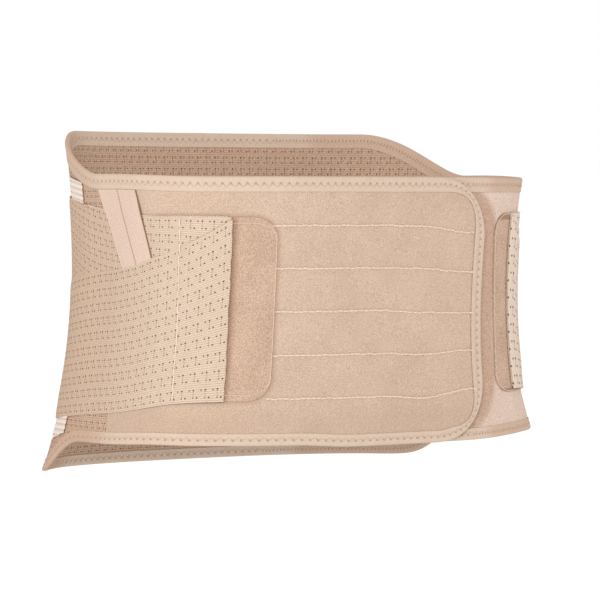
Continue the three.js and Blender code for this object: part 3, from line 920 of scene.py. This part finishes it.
def back_place(column, row):
    share = (back_columns[column] + GIRTH / 2.0) / (GIRTH / 2.0 - PANEL_SEAM)
    to_seam = math.copysign(smooth(0.0, 1.0, abs(share)), share)

    def shifted(z):
        return back_columns[column] - to_seam * (SEAM_GAP / 2.0 + SEAM_SLANT * z)

    z = between(column_end(bottom_line, shifted), column_end(top_line, shifted), row / BACK_ROWS)
    return on_strip(shifted(z), z, PANEL), (shifted(z), z)


back_piece = dress(cloth("knit_back", len(back_columns) - 1, BACK_ROWS, back_place, PANEL), back_knit,
                   "back_panel")
print("back faces:", len(back_piece.data.polygons))

# %% [markdown]
# The sewn rows of the flap: a pale thread that shows for a few millimetres and dips for half of one.
# Real rows are never quite even, so the stitch length varies; the seed keeps it the same in each run.

# %% Flap stitching
STITCH_LONG, STITCH_DIP, STITCH_LEAST = 3.5, 0.45, 2.0
STITCH_UNEVEN, STITCH_DRIFT = (0.75, 1.25), 0.28
STITCH_ARCH = ((0.0, -0.45), (0.12, 0.2), (0.35, 0.45), (0.65, 0.45), (0.88, 0.2), (1.0, -0.45))
ROW_START, ROW_END, ROW_THREAD = -94.0, 69.0, 1.5
shuffle = random.Random(7)


def running_stitch(place, start, end, level, lift, turned=False, long=STITCH_LONG):
    """A row of stitches from start to end; level and lift give its line, turned swaps s and z."""
    path = []
    sign = math.copysign(1.0, end - start)
    here = start
    while (end - here) * sign > STITCH_LEAST:
        size = min(long * shuffle.uniform(*STITCH_UNEVEN), (end - here) * sign)
        drift = shuffle.uniform(-STITCH_DRIFT, STITCH_DRIFT)
        for share, up in STITCH_ARCH:
            at = here + sign * size * share
            line = level(at) + drift
            s, z = (line, at) if turned else (at, line)
            path.append(spot(place, s, z, lift(s, z) + up))
        here += sign * (size + STITCH_DIP)
    return path


flap_paths = [running_stitch(on_strip, ROW_START, ROW_END, lambda s, row=row: row_level(row, s),
                             lambda s, z: PANEL + channels(s, z)) for row in SEWN_ROWS]
flap_stitches = dress(threads("flap_stitches", flap_paths, ROW_THREAD), yarn["thread"])

# %% [markdown]
# A folded tape closes the whole edge.
# Its outline is walked at even steps, so that the stitches keep one pitch round the corners.

# %% Walking the outline
EDGE_PITCH, EDGE_TURNS, EDGE_STRAIGHTS = 2.0, 30, 20


def outline():
    along = spread(OUTER_END - END_CORNER, UNDER_END + END_CORNER, EDGE_PITCH)
    walk = []

    def corner(end, sign, high, turn):
        level = top_line(end) - END_CORNER if high > 0 else bottom_line(end) + END_CORNER
        return (end - sign * END_CORNER * (1.0 - math.sin(turn)), level + high * END_CORNER * math.cos(turn))

    def free_end(end, sign, high):
        turns = [step * math.pi / (2.0 * EDGE_TURNS) for step in range(1, EDGE_TURNS + 1)]
        walk.extend(corner(end, sign, high, turn) for turn in turns)
        first, second = corner(end, sign, high, math.pi / 2.0), corner(end, sign, -high, math.pi / 2.0)
        walk.extend((first[0], between(first[1], second[1], step / EDGE_STRAIGHTS))
                    for step in range(1, EDGE_STRAIGHTS))
        walk.extend(corner(end, sign, -high, turn) for turn in reversed(turns))

    walk.extend((s, top_line(s)) for s in along)
    free_end(UNDER_END, -1.0, 1.0)
    walk.extend((s, bottom_line(s)) for s in reversed(along))
    free_end(OUTER_END, 1.0, -1.0)
    return [Vector((leaned(s, z), z)) for s, z in walk]


def even_steps(walk, pitch):
    ends = walk + walk[:1]
    lengths = [0.0]
    for first, second in zip(ends, ends[1:]):
        lengths.append(lengths[-1] + (second - first).length)
    count = round(lengths[-1] / pitch)
    steps = []
    for k in range(count):
        goal = lengths[-1] * k / count
        i = bisect.bisect_right(lengths, goal) - 1
        steps.append(ends[i].lerp(ends[i + 1], (goal - lengths[i]) / (lengths[i + 1] - lengths[i])))
    return steps, lengths[-1]


edge_steps, edge_length = even_steps(outline(), ZIGZAG_PITCH / 2.0)
edge_count = len(edge_steps)
edge_pitch = edge_length / edge_count
print("edge length, mm:", round(edge_length), "steps:", edge_count)

# %% [markdown]
# A place on the tape is u, the distance along the edge, and its inset from the edge.
# The tape shows narrower round the flap's two corners, where it is pulled tight, and along the bottom.

# %% Places on the edge
CORNER_LEAN, CORNER_MIDDLE, CORNER_LEVEL = END_SLANT * 38.4, -0.3, 46.7
TOP_PULL, BOTTOM_PULL = 0.5, 0.6
HEM_PULL, HEM_RANGE = 0.22, (50.0, 84.0)


def narrowing(point):
    lean = math.copysign(CORNER_LEAN, point.y)
    ahead = max(0.0, point.x - (OUTER_END - END_CORNER) - lean)
    beyond = max(0.0, abs(point.y - CORNER_MIDDLE) - CORNER_LEVEL)
    pull = TOP_PULL if point.y > 0.0 else BOTTOM_PULL
    corner = 1.0 - pull * math.sin(2.0 * math.atan2(beyond, ahead)) ** 2
    return min(corner, 1.0 - HEM_PULL * smooth(*HEM_RANGE, -point.y))


def on_edge(u, inset, lift):
    k = u / edge_pitch
    i = math.floor(k)
    before, here, after, beyond = [edge_steps[(i + n) % edge_count] for n in (-1, 0, 1, 2)]
    run = (after - before).lerp(beyond - here, k - i).normalized()
    point = here.lerp(after, k - i)
    point = point + Vector((-run.y, run.x)) * inset * narrowing(point)
    return on_strip(point.x, point.y, lift)


print("narrowest share of the tape:", round(min(narrowing(point) for point in edge_steps), 2))

# %% [markdown]
# The tape's section is a flattened U with a round fold, carried along the edge.
# Its outer lip is a little thicker and waves with the stitches; the sewing pulls the cloth in along its line.

# %% Folded tape
TAPE, SKIN = 0.4, 0.1
TAPE_LIP, FOLD_OUT, FOLD_STEPS = 9.3, 1.1, 6
OUTER_INSETS = (TAPE_LIP, 9.0, 8.5, 7.8, 7.0, 6.2, 5.4, 4.6, 3.8, 2.9, 2.0)
INNER_INSETS = (2.4, 4.0, 6.0, 8.0, TAPE_LIP)
OUT_FACE, IN_FACE = PANEL + SKIN + TAPE, -SKIN - TAPE
FOLD_RADIUS = (OUT_FACE - IN_FACE) / 2.0
FOLD_MIDDLE, FOLD_LEVEL = FOLD_RADIUS - FOLD_OUT, (OUT_FACE + IN_FACE) / 2.0
LIP_HEIGHT, LIP_WAVE, LIP_RANGE = 0.1, 0.9, (7.9, 8.6)
FACE_SPARE = 0.01
PUFF_HEIGHT, PUFF_INSET, PULL_DEPTH, PULL_WIDTH = 0.28, 1.4, 0.16, 1.6
section = [(inset, OUT_FACE) for inset in OUTER_INSETS]
for step in range(FOLD_STEPS + 1):
    turn = math.pi / 2.0 - step * math.pi / FOLD_STEPS
    section.append((FOLD_MIDDLE - FOLD_RADIUS * math.cos(turn), FOLD_LEVEL + FOLD_RADIUS * math.sin(turn)))
section += [(inset, IN_FACE) for inset in INNER_INSETS]
unfolded = [0.0]
for first, second in zip(section, section[1:]):
    unfolded.append(unfolded[-1] + math.dist(first, second))
FOLD_PLACE = unfolded[len(OUTER_INSETS) + FOLD_STEPS // 2]


def tape_relief(u, inset, lift):
    if lift < OUT_FACE - FACE_SPARE:
        return 0.0
    lip = LIP_HEIGHT * smooth(*LIP_RANGE, inset) * (1.0 + LIP_WAVE * math.cos(u / ZIGZAG_PITCH * math.tau))
    puffed = PUFF_HEIGHT * math.exp(-(((inset - PUFF_INSET) / PULL_WIDTH) ** 2))
    return lip + puffed - PULL_DEPTH * math.exp(-(((inset - SEW_LINE) / PULL_WIDTH) ** 2))


def tape_place(column, row):
    u = column * edge_pitch
    inset, lift = section[row]
    return on_edge(u, inset, lift + tape_relief(u, inset, lift)), (u, FOLD_PLACE - unfolded[row])


tape = cloth("edge_tape_folded", edge_count, len(section) - 1, tape_place, TAPE, rounded=0.15, welded=True)
dress(tape, edge_tape, "edge_binding")
print("tape unfolded, mm:", round(unfolded[-1], 1), "faces:", len(tape.data.polygons))

# %% [markdown]
# The zigzag is one thread on each face of the tape, dipping at every turn.
# One step of the edge is one leg of the zigzag, so that thread and puckers agree.

# %% Zigzag stitching
LEG_ARCH = ((0.0, -0.25), (0.2, 0.05), (0.5, 0.12), (0.8, 0.05))
ZIGZAG_THREAD = 0.4


def zigzag(face, sign):
    path = []
    for k in range(edge_count):
        start = -1.0 if k % 2 == 0 else 1.0
        for share, up in LEG_ARCH:
            inset = SEW_LINE + ZIGZAG_REACH * between(start, -start, share)
            u = (k + share) * edge_pitch
            lift = face + sign * up + (tape_relief(u, inset, face) if sign > 0 else 0.0)
            path.append(spot(on_edge, u, inset, lift, sign))
    return path


zigzags = dress(threads("edge_zigzag", [zigzag(OUT_FACE, 1.0), zigzag(IN_FACE, -1.0)], ZIGZAG_THREAD),
                yarn["tape_thread"])

# %% [markdown]
# A rounded tab of hook cloth closes the front end of each pair of straps.
# It has a fine raised rim where it was cut hot, and its felt is pebbled in the mesh, with a seed of its own.

# %% Hook tabs
TAB = 0.9
TAB_FRONT, TAB_TOP = {"right": 92.2, "left": 95.5}, {"right": 64.0, "left": 66.4}
TAB_REAR, TAB_BOTTOM, TAB_CORNER = 158.0, -60.0, 15.0
TAB_ROWS, TAB_PITCH = 124, 1.1
TAB_FACE = PANEL + SKIN + TAB
BEND_REACH, BEND_HEIGHT = 40.0, 58.0
LEFT_BOW, BOW_LOW, BOW_HIGH = 1.6, 4.8, 2.4
RIGHT_SHIFT, RIGHT_LEAN = -2.0, -0.02
RIM_RISE, RIM_RANGE, RIM_DROP, RIM_EDGE = 0.25, (0.6, 1.8), 0.6, (0.0, 0.8)
PEBBLE_HEIGHT, PEBBLE_RANGE = 0.09, (0.5, 1.5)
pebbles = random.Random(11)


def inside_tab(front, z, top):
    """Distance inside the tab's rounded outline."""
    end = min(z - TAB_BOTTOM, top - z)
    if front < TAB_CORNER and end < TAB_CORNER:
        return TAB_CORNER - math.hypot(TAB_CORNER - front, TAB_CORNER - end)
    return min(front, end)


def tab_bend(side, front, z):
    """The left tab's front edge bows, and the right tab's leans a little."""
    if side > 0:
        bend = LEFT_BOW - (BOW_LOW if z < 0.0 else BOW_HIGH) * (z / BEND_HEIGHT) ** 2
    else:
        bend = RIGHT_SHIFT + RIGHT_LEAN * z
    return bend * fading(0.0, BEND_REACH, front)


def hook_tab(label, side):
    start, top = TAB_FRONT[label], TAB_TOP[label]
    columns = [start + TAB_CORNER * (1.0 - math.cos(step * QUARTER)) for step in range(CORNER_STEPS + 1)]
    columns += spread(start + TAB_CORNER, TAB_REAR, TAB_PITCH)[1:]

    def place(column, row):
        along = columns[column]
        drop = corner_drop(along - start, TAB_CORNER)
        z = between(TAB_BOTTOM + drop, top - drop, row / TAB_ROWS)
        inside = inside_tab(along - start, z, top)
        along += tab_bend(side, along - start, z)
        rim = RIM_RISE * fading(*RIM_RANGE, inside) - RIM_DROP * fading(*RIM_EDGE, inside)
        grain = PEBBLE_HEIGHT * pebbles.uniform(-1.0, 1.0) * smooth(*PEBBLE_RANGE, inside)
        return on_side(side, along, z, TAB_FACE + rim + grain), (side_place(side, along), z)

    piece = cloth(f"hook_patch_{label}", len(columns) - 1, TAB_ROWS, place, TAB, rounded=0.3)
    return dress(piece, hook_cloth, f"hook_tab_{label}")


print("tab heights, mm:", [round(top - TAB_BOTTOM, 1) for top in TAB_TOP.values()])

# %% [markdown]
# A fine thread runs round the tab, close to its front edge, and on the right tab further in along the ends.

# %% Tab stitching
TAB_HEM, TAB_EDGE, HEM_END = {"right": 4.0, "left": 0.6}, 0.6, 24.0
TAB_DIP, TAB_OVER, TAB_STITCH = 0.02, 0.2, 4


def tab_line(label):
    start, top, inset = TAB_FRONT[label] + TAB_CORNER, TAB_TOP[label], TAB_HEM[label]
    wide, tall, rear = TAB_CORNER - TAB_EDGE, TAB_CORNER - inset, TAB_REAR - HEM_END
    high, low = top - TAB_CORNER, TAB_BOTTOM + TAB_CORNER
    quarter = [step * QUARTER for step in range(1, CORNER_STEPS + 1)]
    line = [(along, top - inset) for along in spread(rear, start, 1.0)]
    line += [(start - wide * math.sin(a), high + tall * math.cos(a)) for a in quarter]
    line += [(start - wide, z) for z in spread(high, low, 1.0)[1:-1]]
    line += [(start - wide * math.cos(a), low - tall * math.sin(a)) for a in quarter]
    return line + [(along, TAB_BOTTOM + inset) for along in spread(start, rear, 1.0)[1:]]


def tab_paths(label, side):
    path = []
    for k, (along, z) in enumerate(tab_line(label)):
        up = TAB_DIP if k % TAB_STITCH == TAB_STITCH - 1 else TAB_OVER
        along += tab_bend(side, along - TAB_FRONT[label], z)
        path.append(spot(on_strip, side_place(side, along), z, TAB_FACE + up))
    return [path]


print("points round the right tab:", len(tab_line("right")))

# %% [markdown]
# The side straps meet at the front and spread apart toward the back.
# A table holds their four edges at a few places, and a smooth curve joins the places.
# They climb over the tab, the guide tapes and the casing, in the same easy curves as their solids.

# %% Strap form
# Each row: distance from the front centre, then the high and low edges of the upper and the lower strap
STRAP_TABLE = ((121.2, 64.0, -58.5, 62.0, -60.0), (152.0, 64.5, -40.0, 44.5, -62.0),
               (176.0, 64.5, -31.5, 36.0, -66.0), (203.0, 66.0, -25.0, 29.5, -70.0),
               (232.0, 69.0, -22.0, 26.5, -72.5), (276.0, 75.5, -18.0, 22.5, -77.0),
               (372.0, 86.0, -9.0, 14.0, -86.0))
UPPER_HIGH, UPPER_LOW, LOWER_HIGH, LOWER_LOW = 1, 2, 3, 4
STRAP, GUIDE = 0.7, 0.4
STRAP_FRONT, STRAP_END = {-1: 120.7, 1: 115.0}, STRAP_TABLE[-1][0]
OFF_TAB = (160.0, 186.0)
CASING_RISE, CASING_FALL = (232.0, 257.0), (286.0, 312.0)
GUIDE_RISE, GUIDE_FALL = (160.0, 172.0), (214.0, 228.0)


def strap_row(along, edge):
    last = len(STRAP_TABLE) - 1
    k = 0
    while k < last - 1 and STRAP_TABLE[k + 1][0] < along:
        k += 1

    def slope(n):
        before, after = STRAP_TABLE[max(0, n - 1)], STRAP_TABLE[min(last, n + 1)]
        return (after[edge] - before[edge]) / (after[0] - before[0])

    run = STRAP_TABLE[k + 1][0] - STRAP_TABLE[k][0]
    t = max(0.0, (along - STRAP_TABLE[k][0]) / run)
    start = STRAP_TABLE[k][edge] + slope(k) * run * t
    finish = STRAP_TABLE[k + 1][edge] - slope(k + 1) * run * (1.0 - t)
    return between(start, finish, t * t * (3.0 - 2.0 * t))


def upper_lift(along):
    climbed = max(fading(*OFF_TAB, along), hill(CASING_RISE, CASING_FALL, along))
    return PANEL + SKIN + (TAB + SKIN) * climbed


def lower_lift(along):
    return upper_lift(along) + STRAP + SKIN + (GUIDE + SKIN) * hill(GUIDE_RISE, GUIDE_FALL, along)


print("lower strap's lift at its front and at the guides, mm:",
      round(lower_lift(STRAP_FRONT[-1]), 2), round(lower_lift(GUIDE_FALL[0]), 2))

# %% [markdown]
# The lower strap's front end is turned under and sewn down, so it is a little thicker as far as its seam.
# Its upper edge is pressed flush with the upper strap, and its lower edge sinks to the panel.
# At the left front the weave is pulled open, and toward the back its rows fan out.

# %% How the straps lie
STRAP_SEAM, SEAM_BEFORE, SEAM_AFTER = 153.0, 5.0, 4.0
SEAM_DENT, SEAM_WIDTH = 0.12, 1.3
FRONT_LEAN, LEAN_LENGTH = 0.03, 60.0
RAISED, RAISED_RANGE = 2.0, (150.0, 230.0)
FLUSH_DEPTH, FLUSH_WIDTH, FLUSH_RISE = 0.05, 8.0, (0.5, 7.0)
SUNK_WIDTH, SUNK_RISE = 20.0, (5.0, 25.0)
PULLED, PULL_LENGTH = 20.0, 40.0
FAN, FAN_RANGE, FAN_UPPER, FAN_LOWER = 75.0, (230.0, 310.0), (0.36, 0.09), 0.06


def hem(along):
    turned = (STRAP + SKIN) * fading(STRAP_SEAM - SEAM_BEFORE, STRAP_SEAM + SEAM_AFTER, along)
    return turned - SEAM_DENT * math.exp(-(((along - STRAP_SEAM) / SEAM_WIDTH) ** 2))


def strap_lean(side, along, z):
    front = STRAP_FRONT[side]
    lean = FRONT_LEAN * max(0.0, z) if side < 0 else 0.0
    return along - lean * fading(front, front + LEAN_LENGTH, along)


def raised(side, along):
    """On the left the front ends were closed a little higher."""
    return RAISED * fading(*RAISED_RANGE, along) if side > 0 else 0.0


def settled(side, along, share):
    """How far the lower strap's upper edge is pressed flush and its lower edge sinks to the panel."""
    past_front = along - STRAP_FRONT[side]
    width = strap_row(along, LOWER_HIGH) - strap_row(along, LOWER_LOW)
    flush = (STRAP + hem(along) + FLUSH_DEPTH) * fading(0.0, FLUSH_WIDTH, (1.0 - share) * width)
    sunk = (STRAP + SKIN) * fading(0.0, SUNK_WIDTH, share * width)
    return flush * smooth(*FLUSH_RISE, past_front), sunk * smooth(*SUNK_RISE, past_front)


def pulled(side, along):
    """Flat place on the strap; at the left front the weave is pulled open to twice its length."""
    past_front = along - STRAP_FRONT[side]
    return along if side < 0 else along - PULLED * (1.0 - math.exp(-past_front / PULL_LENGTH))


def fanned(outer, along, share):
    """The rows of the upper strap climb toward the back, those of the lower one fall a little."""
    turn = FAN * smooth(*FAN_RANGE, along)
    return FAN_LOWER * share * turn if outer else -between(*FAN_UPPER, share) * turn


print("hem at the front and behind the seam, mm:", round(hem(STRAP_FRONT[-1]), 2), round(hem(STRAP_END), 2))

# %% [markdown]
# A strap is one grid; the lower one starts under its own hem, goes round the fold and runs on to the back.
# The cut front is a little ragged, and both edges are pressed toward the layer below.

# %% Straps
STRAP_ROWS, STRAP_PITCH, KNIT_ROWS = 96, 2.6, 10
FINE_COUNT, FINE_PITCH, FINE_END = 4, 0.6, 3.0
HEM_ROUND, HEM_BACK = 0.75, 4.0
HEM_TURNS = [k * math.pi / 6.0 for k in (-2, -1, 0, 1, 2)]
WEAVE_START = {-1: 1.1, 1: 3.4}
RAGGED, RAGGED_LENGTH, NOTCH, NOTCH_LENGTH = ((0.15, 0.23), (0.1, 0.61)), 8.0, 0.16, 0.7
PRESSED, PRESSED_WIDTH, PRESSED_RISE = 0.4, 5.0, (124.0, 170.0)


def strap_columns(side, outer):
    """Place along, which face it is (0 under, 1 top) and the flat place of each column."""
    front = STRAP_FRONT[side]
    top = [front + k * FINE_PITCH for k in range(FINE_COUNT)]
    top += spread(front + FINE_END, STRAP_END, STRAP_PITCH)
    columns = [(along, 1.0, pulled(side, along)) for along in top]
    if not outer:
        return columns
    under = [(along, 0.0, 2.0 * front - along - HEM_ROUND * math.pi)
             for along in spread(STRAP_SEAM - HEM_BACK, front, STRAP_PITCH)]
    for turn in HEM_TURNS:
        flat = front + HEM_ROUND * (turn - math.pi / 2.0)
        under.append((front - HEM_ROUND * math.cos(turn), 0.5 + 0.5 * math.sin(turn), flat))
    return under + columns


def cut_front(side, outer, along, z, row):
    front = STRAP_FRONT[side]
    (slow, slow_pace), (fast, fast_pace) = RAGGED
    ragged = slow * math.sin(z * slow_pace + outer) + fast * math.sin(z * fast_pace)
    notch = (NOTCH if row % 2 else 0.0) * fading(front, front + NOTCH_LENGTH, along)
    return ragged * fading(front, front + RAGGED_LENGTH, along) + notch


def strap(label, side, low, high, lift, outer):
    columns = strap_columns(side, outer)

    def place(column, row):
        along, turn, flat = columns[column]
        share = row / STRAP_ROWS
        bottom, top = strap_row(along, low), strap_row(along, high)
        z = between(bottom, top, share)
        from_edge = min(share, 1.0 - share) * (top - bottom)
        pressed = -PRESSED * fading(0.0, PRESSED_WIDTH, from_edge) * smooth(*PRESSED_RISE, along)
        sunk = 0.0
        if outer:
            flush, sunk = settled(side, along, share)
            pressed = min(pressed, -flush)
        placed = strap_lean(side, along, z) + cut_front(side, outer, along, z, row)
        up = lift(along) - sunk + turn * (STRAP + pressed + (hem(along) if outer else 0.0))
        weave = (side_place(side, flat) + WEAVE_START[side],
                 share * KNIT_ROWS * KNIT_REPEAT[1] + fanned(outer, along, share))
        return on_side(side, placed, z + raised(side, along), up), weave

    name = "lower" if outer else "upper"
    piece = cloth(f"elastic_{name}_{label}", len(columns) - 1, STRAP_ROWS, place, STRAP, rounded=0.2,
                  outer_face=-1)
    piece["fan"] = abs(fanned(outer, STRAP_END, float(outer))) / 2.0
    return dress(piece, elastic, f"strap_{name}_{label}")


print("columns of an upper and a lower strap:", len(strap_columns(-1, 0)), len(strap_columns(-1, 1)))

# %% [markdown]
# Two woven tapes guide the upper strap; each is a flat ribbon with fine bent ribs, which are in its mesh.
# They hang from the edge tape, step over the strap's upper edge and are tucked under the lower strap.

# %% Guide tapes
# Each tape: back and front edge at the top, back and front edge at the lower end
GUIDE_EDGES = {"rear": (236.5, 212.3, 209.5, 191.6), "front": (212.1, 190.0, 191.4, 174.4)}
GUIDE_END_LEVEL, GUIDE_TUCK, GUIDE_DROP, GUIDE_STEP = 33.0, 8.0, 14.0, 1.0
BINDING_WIDTH, BINDING_GAP = 10.0, 0.4
RIB_HEIGHT, RIB_BENDS = 0.1, 6.0
GUIDE_ROWS, GUIDE_COLUMNS = 200, 24


def guide_tape(label, side, end):
    top_back, top_front, end_back, end_front = GUIDE_EDGES[end]

    def place(column, row):
        across = column / GUIDE_COLUMNS
        top, low_end = between(top_back, top_front, across), between(end_back, end_front, across)
        high = top_line(top) - BINDING_WIDTH + BINDING_GAP
        low = strap_row(low_end, LOWER_HIGH) - GUIDE_TUCK
        z = between(low, high, row / GUIDE_ROWS)
        along = between(top, low_end, (high - z) / (high - GUIDE_END_LEVEL))
        edge = strap_row(along, UPPER_HIGH)
        over = fading(edge + GUIDE_STEP, edge + GUIDE_DROP, z)
        run = row / GUIDE_ROWS * (high - low)
        bent = RIB_BEND * abs((across * RIB_BENDS) % 2.0 - 1.0)
        rib = RIB_HEIGHT * math.cos((run + bent) / RIB_PITCH * math.tau)
        lift = upper_lift(along) + (STRAP + SKIN) * over + GUIDE + rib
        return on_side(side, along, z, lift), ((across + (end == "front")) * RIBBON_WIDTH, run)

    piece = cloth(f"ribbon_{end}_{label}", GUIDE_COLUMNS, GUIDE_ROWS, place, GUIDE, rounded=0.12)
    return dress(piece, ribbon, f"guide_tape_{end}_{label}")


print("guide tapes on each side:", len(GUIDE_EDGES))

# %% [markdown]
# The casing at the side is satin drawn into ridges, as over the turns of a coiled stay.
# Painted shade makes the gaps between the ridges greyer.

# %% Satin of the casings
CASING_FRONT, CASING_BACK, CASING_TOP, CASING_BOTTOM = 259.0, 287.0, 87.4, -87.0
COIL_TURNS, COIL_SPARE = 46, 4.6
GAP_RANGE, GAP_SHARE = (1.4, 0.1), 0.6
COIL_PITCH = (CASING_TOP - CASING_BOTTOM + COIL_SPARE) / COIL_TURNS


def coil_gaps(tree, flat, place):
    away = sums(tree, "PINGPONG", split(tree, flat)["Y"], COIL_PITCH / 2.0)
    # Painted shade in the gaps between the ridges.
    return [(ease(tree, away, *GAP_RANGE, 0.0, GAP_SHARE), tone(212, 187, 168))]


satin = cloth_material("satin", tone(253, 241, 231), tone(243, 227, 214), fibre=0.5, patch=9.0, relief=0.05,
                       rough=0.35, layers=coil_gaps)
print("coil pitch, mm:", round(COIL_PITCH, 2))

# %% [markdown]
# The ridges are in the mesh, lower where the straps lie over them, and the edges are drawn in at each gap.
# A brown thread runs along the front edge between the ridges; its brown is painted shadow of the casing's
# edge.

# %% Stay casings
COIL_STEPS, CASING_COLUMNS, CASING_CLOTH, CASING_WIDTH = 8, 28, 0.3, 23.0
CUT_BOTTOM, CUT_TOP = -0.24, 0.19
CASING_LEAN, LEAN_RANGE = 3.0, (-80.0, 60.0)
COIL_TILT, TILT_RANGE = 3.2, (0.0, 60.0)
DOME, DOME_POWER, UNEVEN, UNEVEN_PACE = 0.35, 6, 0.25, 0.83
BARE_TOP, BARE_BOTTOM, COVERED = (70.0, 78.0), (-78.0, -72.0), 0.4
GAP_LIFT, SCALLOP = 0.35, 2.6
WHIP_POINTS, WHIP_OUT, WHIP_REACH, WHIP_LIFT, WHIP_RISE = 4, -0.2, 1.5, 0.3, 0.25


def casing_spot(across, share):
    """Flat place on the casing; its ends are cut nearly level, and it leans back a little low down."""
    along = between(CASING_FRONT, CASING_BACK, across)
    behind = along - CASING_FRONT
    z = between(CASING_BOTTOM + CUT_BOTTOM * behind, CASING_TOP + CUT_TOP * behind, share)
    return along + CASING_LEAN * (1.0 - across) * fading(*LEAN_RANGE, z), z


def coil(across, z):
    """Height of the satin over the coil, from 0 in a gap to 1 on a turn, and the place along the coil."""
    wound = z + COIL_TILT * (1.0 - across) * smooth(*TILT_RANGE, z)
    return 0.5 - 0.5 * math.cos(wound / COIL_PITCH * math.tau), wound


def casing_place(side, across, share):
    along, z = casing_spot(across, share)
    ridge, wound = coil(across, z)
    dome = 1.0 - DOME * abs(2.0 * across - 1.0) ** DOME_POWER
    dome *= 1.0 + UNEVEN * math.sin(wound * UNEVEN_PACE)
    bare = max(smooth(*BARE_TOP, z), fading(*BARE_BOTTOM, z))
    lift = PANEL + SKIN + GAP_LIFT + between(COVERED, 1.0, bare) * ridge * dome
    scallop = (0.5 - across) * SCALLOP * (1.0 - ridge) * bare
    return on_side(side, along + scallop, z, lift), (across * CASING_WIDTH, wound)


def stay_casing(label, side):
    rows = COIL_TURNS * COIL_STEPS

    def place(column, row):
        return casing_place(side, column / CASING_COLUMNS, row / rows)

    piece = cloth(f"stay_cover_{label}", CASING_COLUMNS, rows, place, CASING_CLOTH, rounded=0.1)
    return dress(piece, satin, f"stay_casing_{label}")


def casing_paths(side):
    path = []
    points = COIL_TURNS * WHIP_POINTS
    for step in range(points + 1):
        edge, z = casing_spot(0.0, step / points)
        inward = 1.0 - coil(0.0, z)[0]
        s = side_place(side, edge + WHIP_OUT + WHIP_REACH * inward)
        path.append(spot(on_strip, s, z, PANEL + WHIP_LIFT + WHIP_RISE * inward))
    return [path]


print("rows of a casing:", COIL_TURNS * COIL_STEPS)

# %% [markdown]
# Thread holds the straps: one row of long stitches at the turned front end, and two where they end.
# Each row follows the top face of whichever strap lies uppermost.

# %% Strap stitching
SEAM_TOP, SEAM_BOTTOM, SEAM_STITCH = 63.5, -61.0, 9.0
END_ROWS, END_INSET, END_STITCH = (369.0, 360.0), 2.0, 3.0
STEP_HALF = 0.6


def seam_paths(side):
    def top_face(s, z):
        along = -s if side < 0 else s + GIRTH
        under = upper_lift(along) + STRAP
        edge, low = strap_row(along, LOWER_HIGH), strap_row(along, LOWER_LOW)
        level = z - raised(side, along)
        flush, sunk = settled(side, along, min(1.0, max(0.0, (level - low) / (edge - low))))
        over = lower_lift(along) + STRAP + hem(along) - flush - sunk
        return between(over, under, smooth(edge - STEP_HALF, edge + STEP_HALF, level))

    def line(along, z):
        return side_place(side, strap_lean(side, along, z))

    up = raised(side, STRAP_SEAM)
    rows = [running_stitch(on_strip, SEAM_TOP + up, up + SEAM_BOTTOM, lambda z: side_place(side, STRAP_SEAM),
                           top_face, True, SEAM_STITCH)]
    for along in END_ROWS:
        high, low = strap_row(along, UPPER_HIGH) - END_INSET, strap_row(along, LOWER_LOW) + END_INSET
        rows.append(running_stitch(on_strip, high, low, lambda z, at=along: line(at, z), top_face, True,
                                   END_STITCH))
    return rows


print("rows on each side:", 1 + len(END_ROWS))

# %% [markdown]
# The upper strap's top edge is a selvedge of tiny loops, called picots.
# One thread that rises and falls along the edge is enough at this size.

# %% Picot edge
PICOT, PICOT_STEPS, PICOT_START, PICOT_END = 1.9, 6.0, 2.0, 250.0
PICOT_ROOT, PICOT_HEIGHT, PICOT_LIFT = -0.25, 0.75, 0.2


def picot_paths(side):
    path = []
    for along in spread(STRAP_FRONT[side] + PICOT_START, PICOT_END, PICOT / PICOT_STEPS):
        loop = math.sin(along / PICOT * math.pi) ** 2
        z = strap_row(along, UPPER_HIGH) + raised(side, along) + PICOT_ROOT + PICOT_HEIGHT * loop
        s = side_place(side, strap_lean(side, along, z))
        path.append(spot(on_strip, s, z, upper_lift(along) + STRAP + PICOT_ROOT + PICOT_LIFT * loop))
    return [path]


print("picots on the right strap:", round((PICOT_END - STRAP_FRONT[-1]) / PICOT))

# %% [markdown]
# Both sides carry the same pieces, so one loop makes them, first on the wearer's right and then on the left.
# The wrapping puts each side in its place, and the cloth helper turns its faces outward.

# %% Both sides
RIM_THREAD, SEAM_THREAD, PICOT_THREAD, WHIP_THREAD = 0.6, 0.95, 0.55, 0.65
for label, side, ground in (("right", -1, "velour_flap"), ("left", 1, "velour_under_flap")):
    patch = hook_tab(label, side)
    upper = strap(label, side, UPPER_LOW, UPPER_HIGH, upper_lift, 0)
    lower = strap(label, side, LOWER_LOW, LOWER_HIGH, lower_lift, 1)
    guides = [guide_tape(label, side, end) for end in ("rear", "front")]
    cover = stay_casing(label, side)
    rims = threads(f"tab_stitches_{label}", tab_paths(label, side), RIM_THREAD)
    dress(rims, yarn["hook_thread"])
    seams = threads(f"strap_stitches_{label}", seam_paths(side), SEAM_THREAD)
    dress(seams, yarn["seam_thread"])
    picots = threads(f"strap_picots_{label}", picot_paths(side), PICOT_THREAD)
    dress(picots, yarn["thread"])
    whips = threads(f"casing_stitches_{label}", casing_paths(side), WHIP_THREAD)
    # The casing thread's brown is painted shadow of the casing's edge.
    dress(whips, yarn["brown_shadow_thread"])
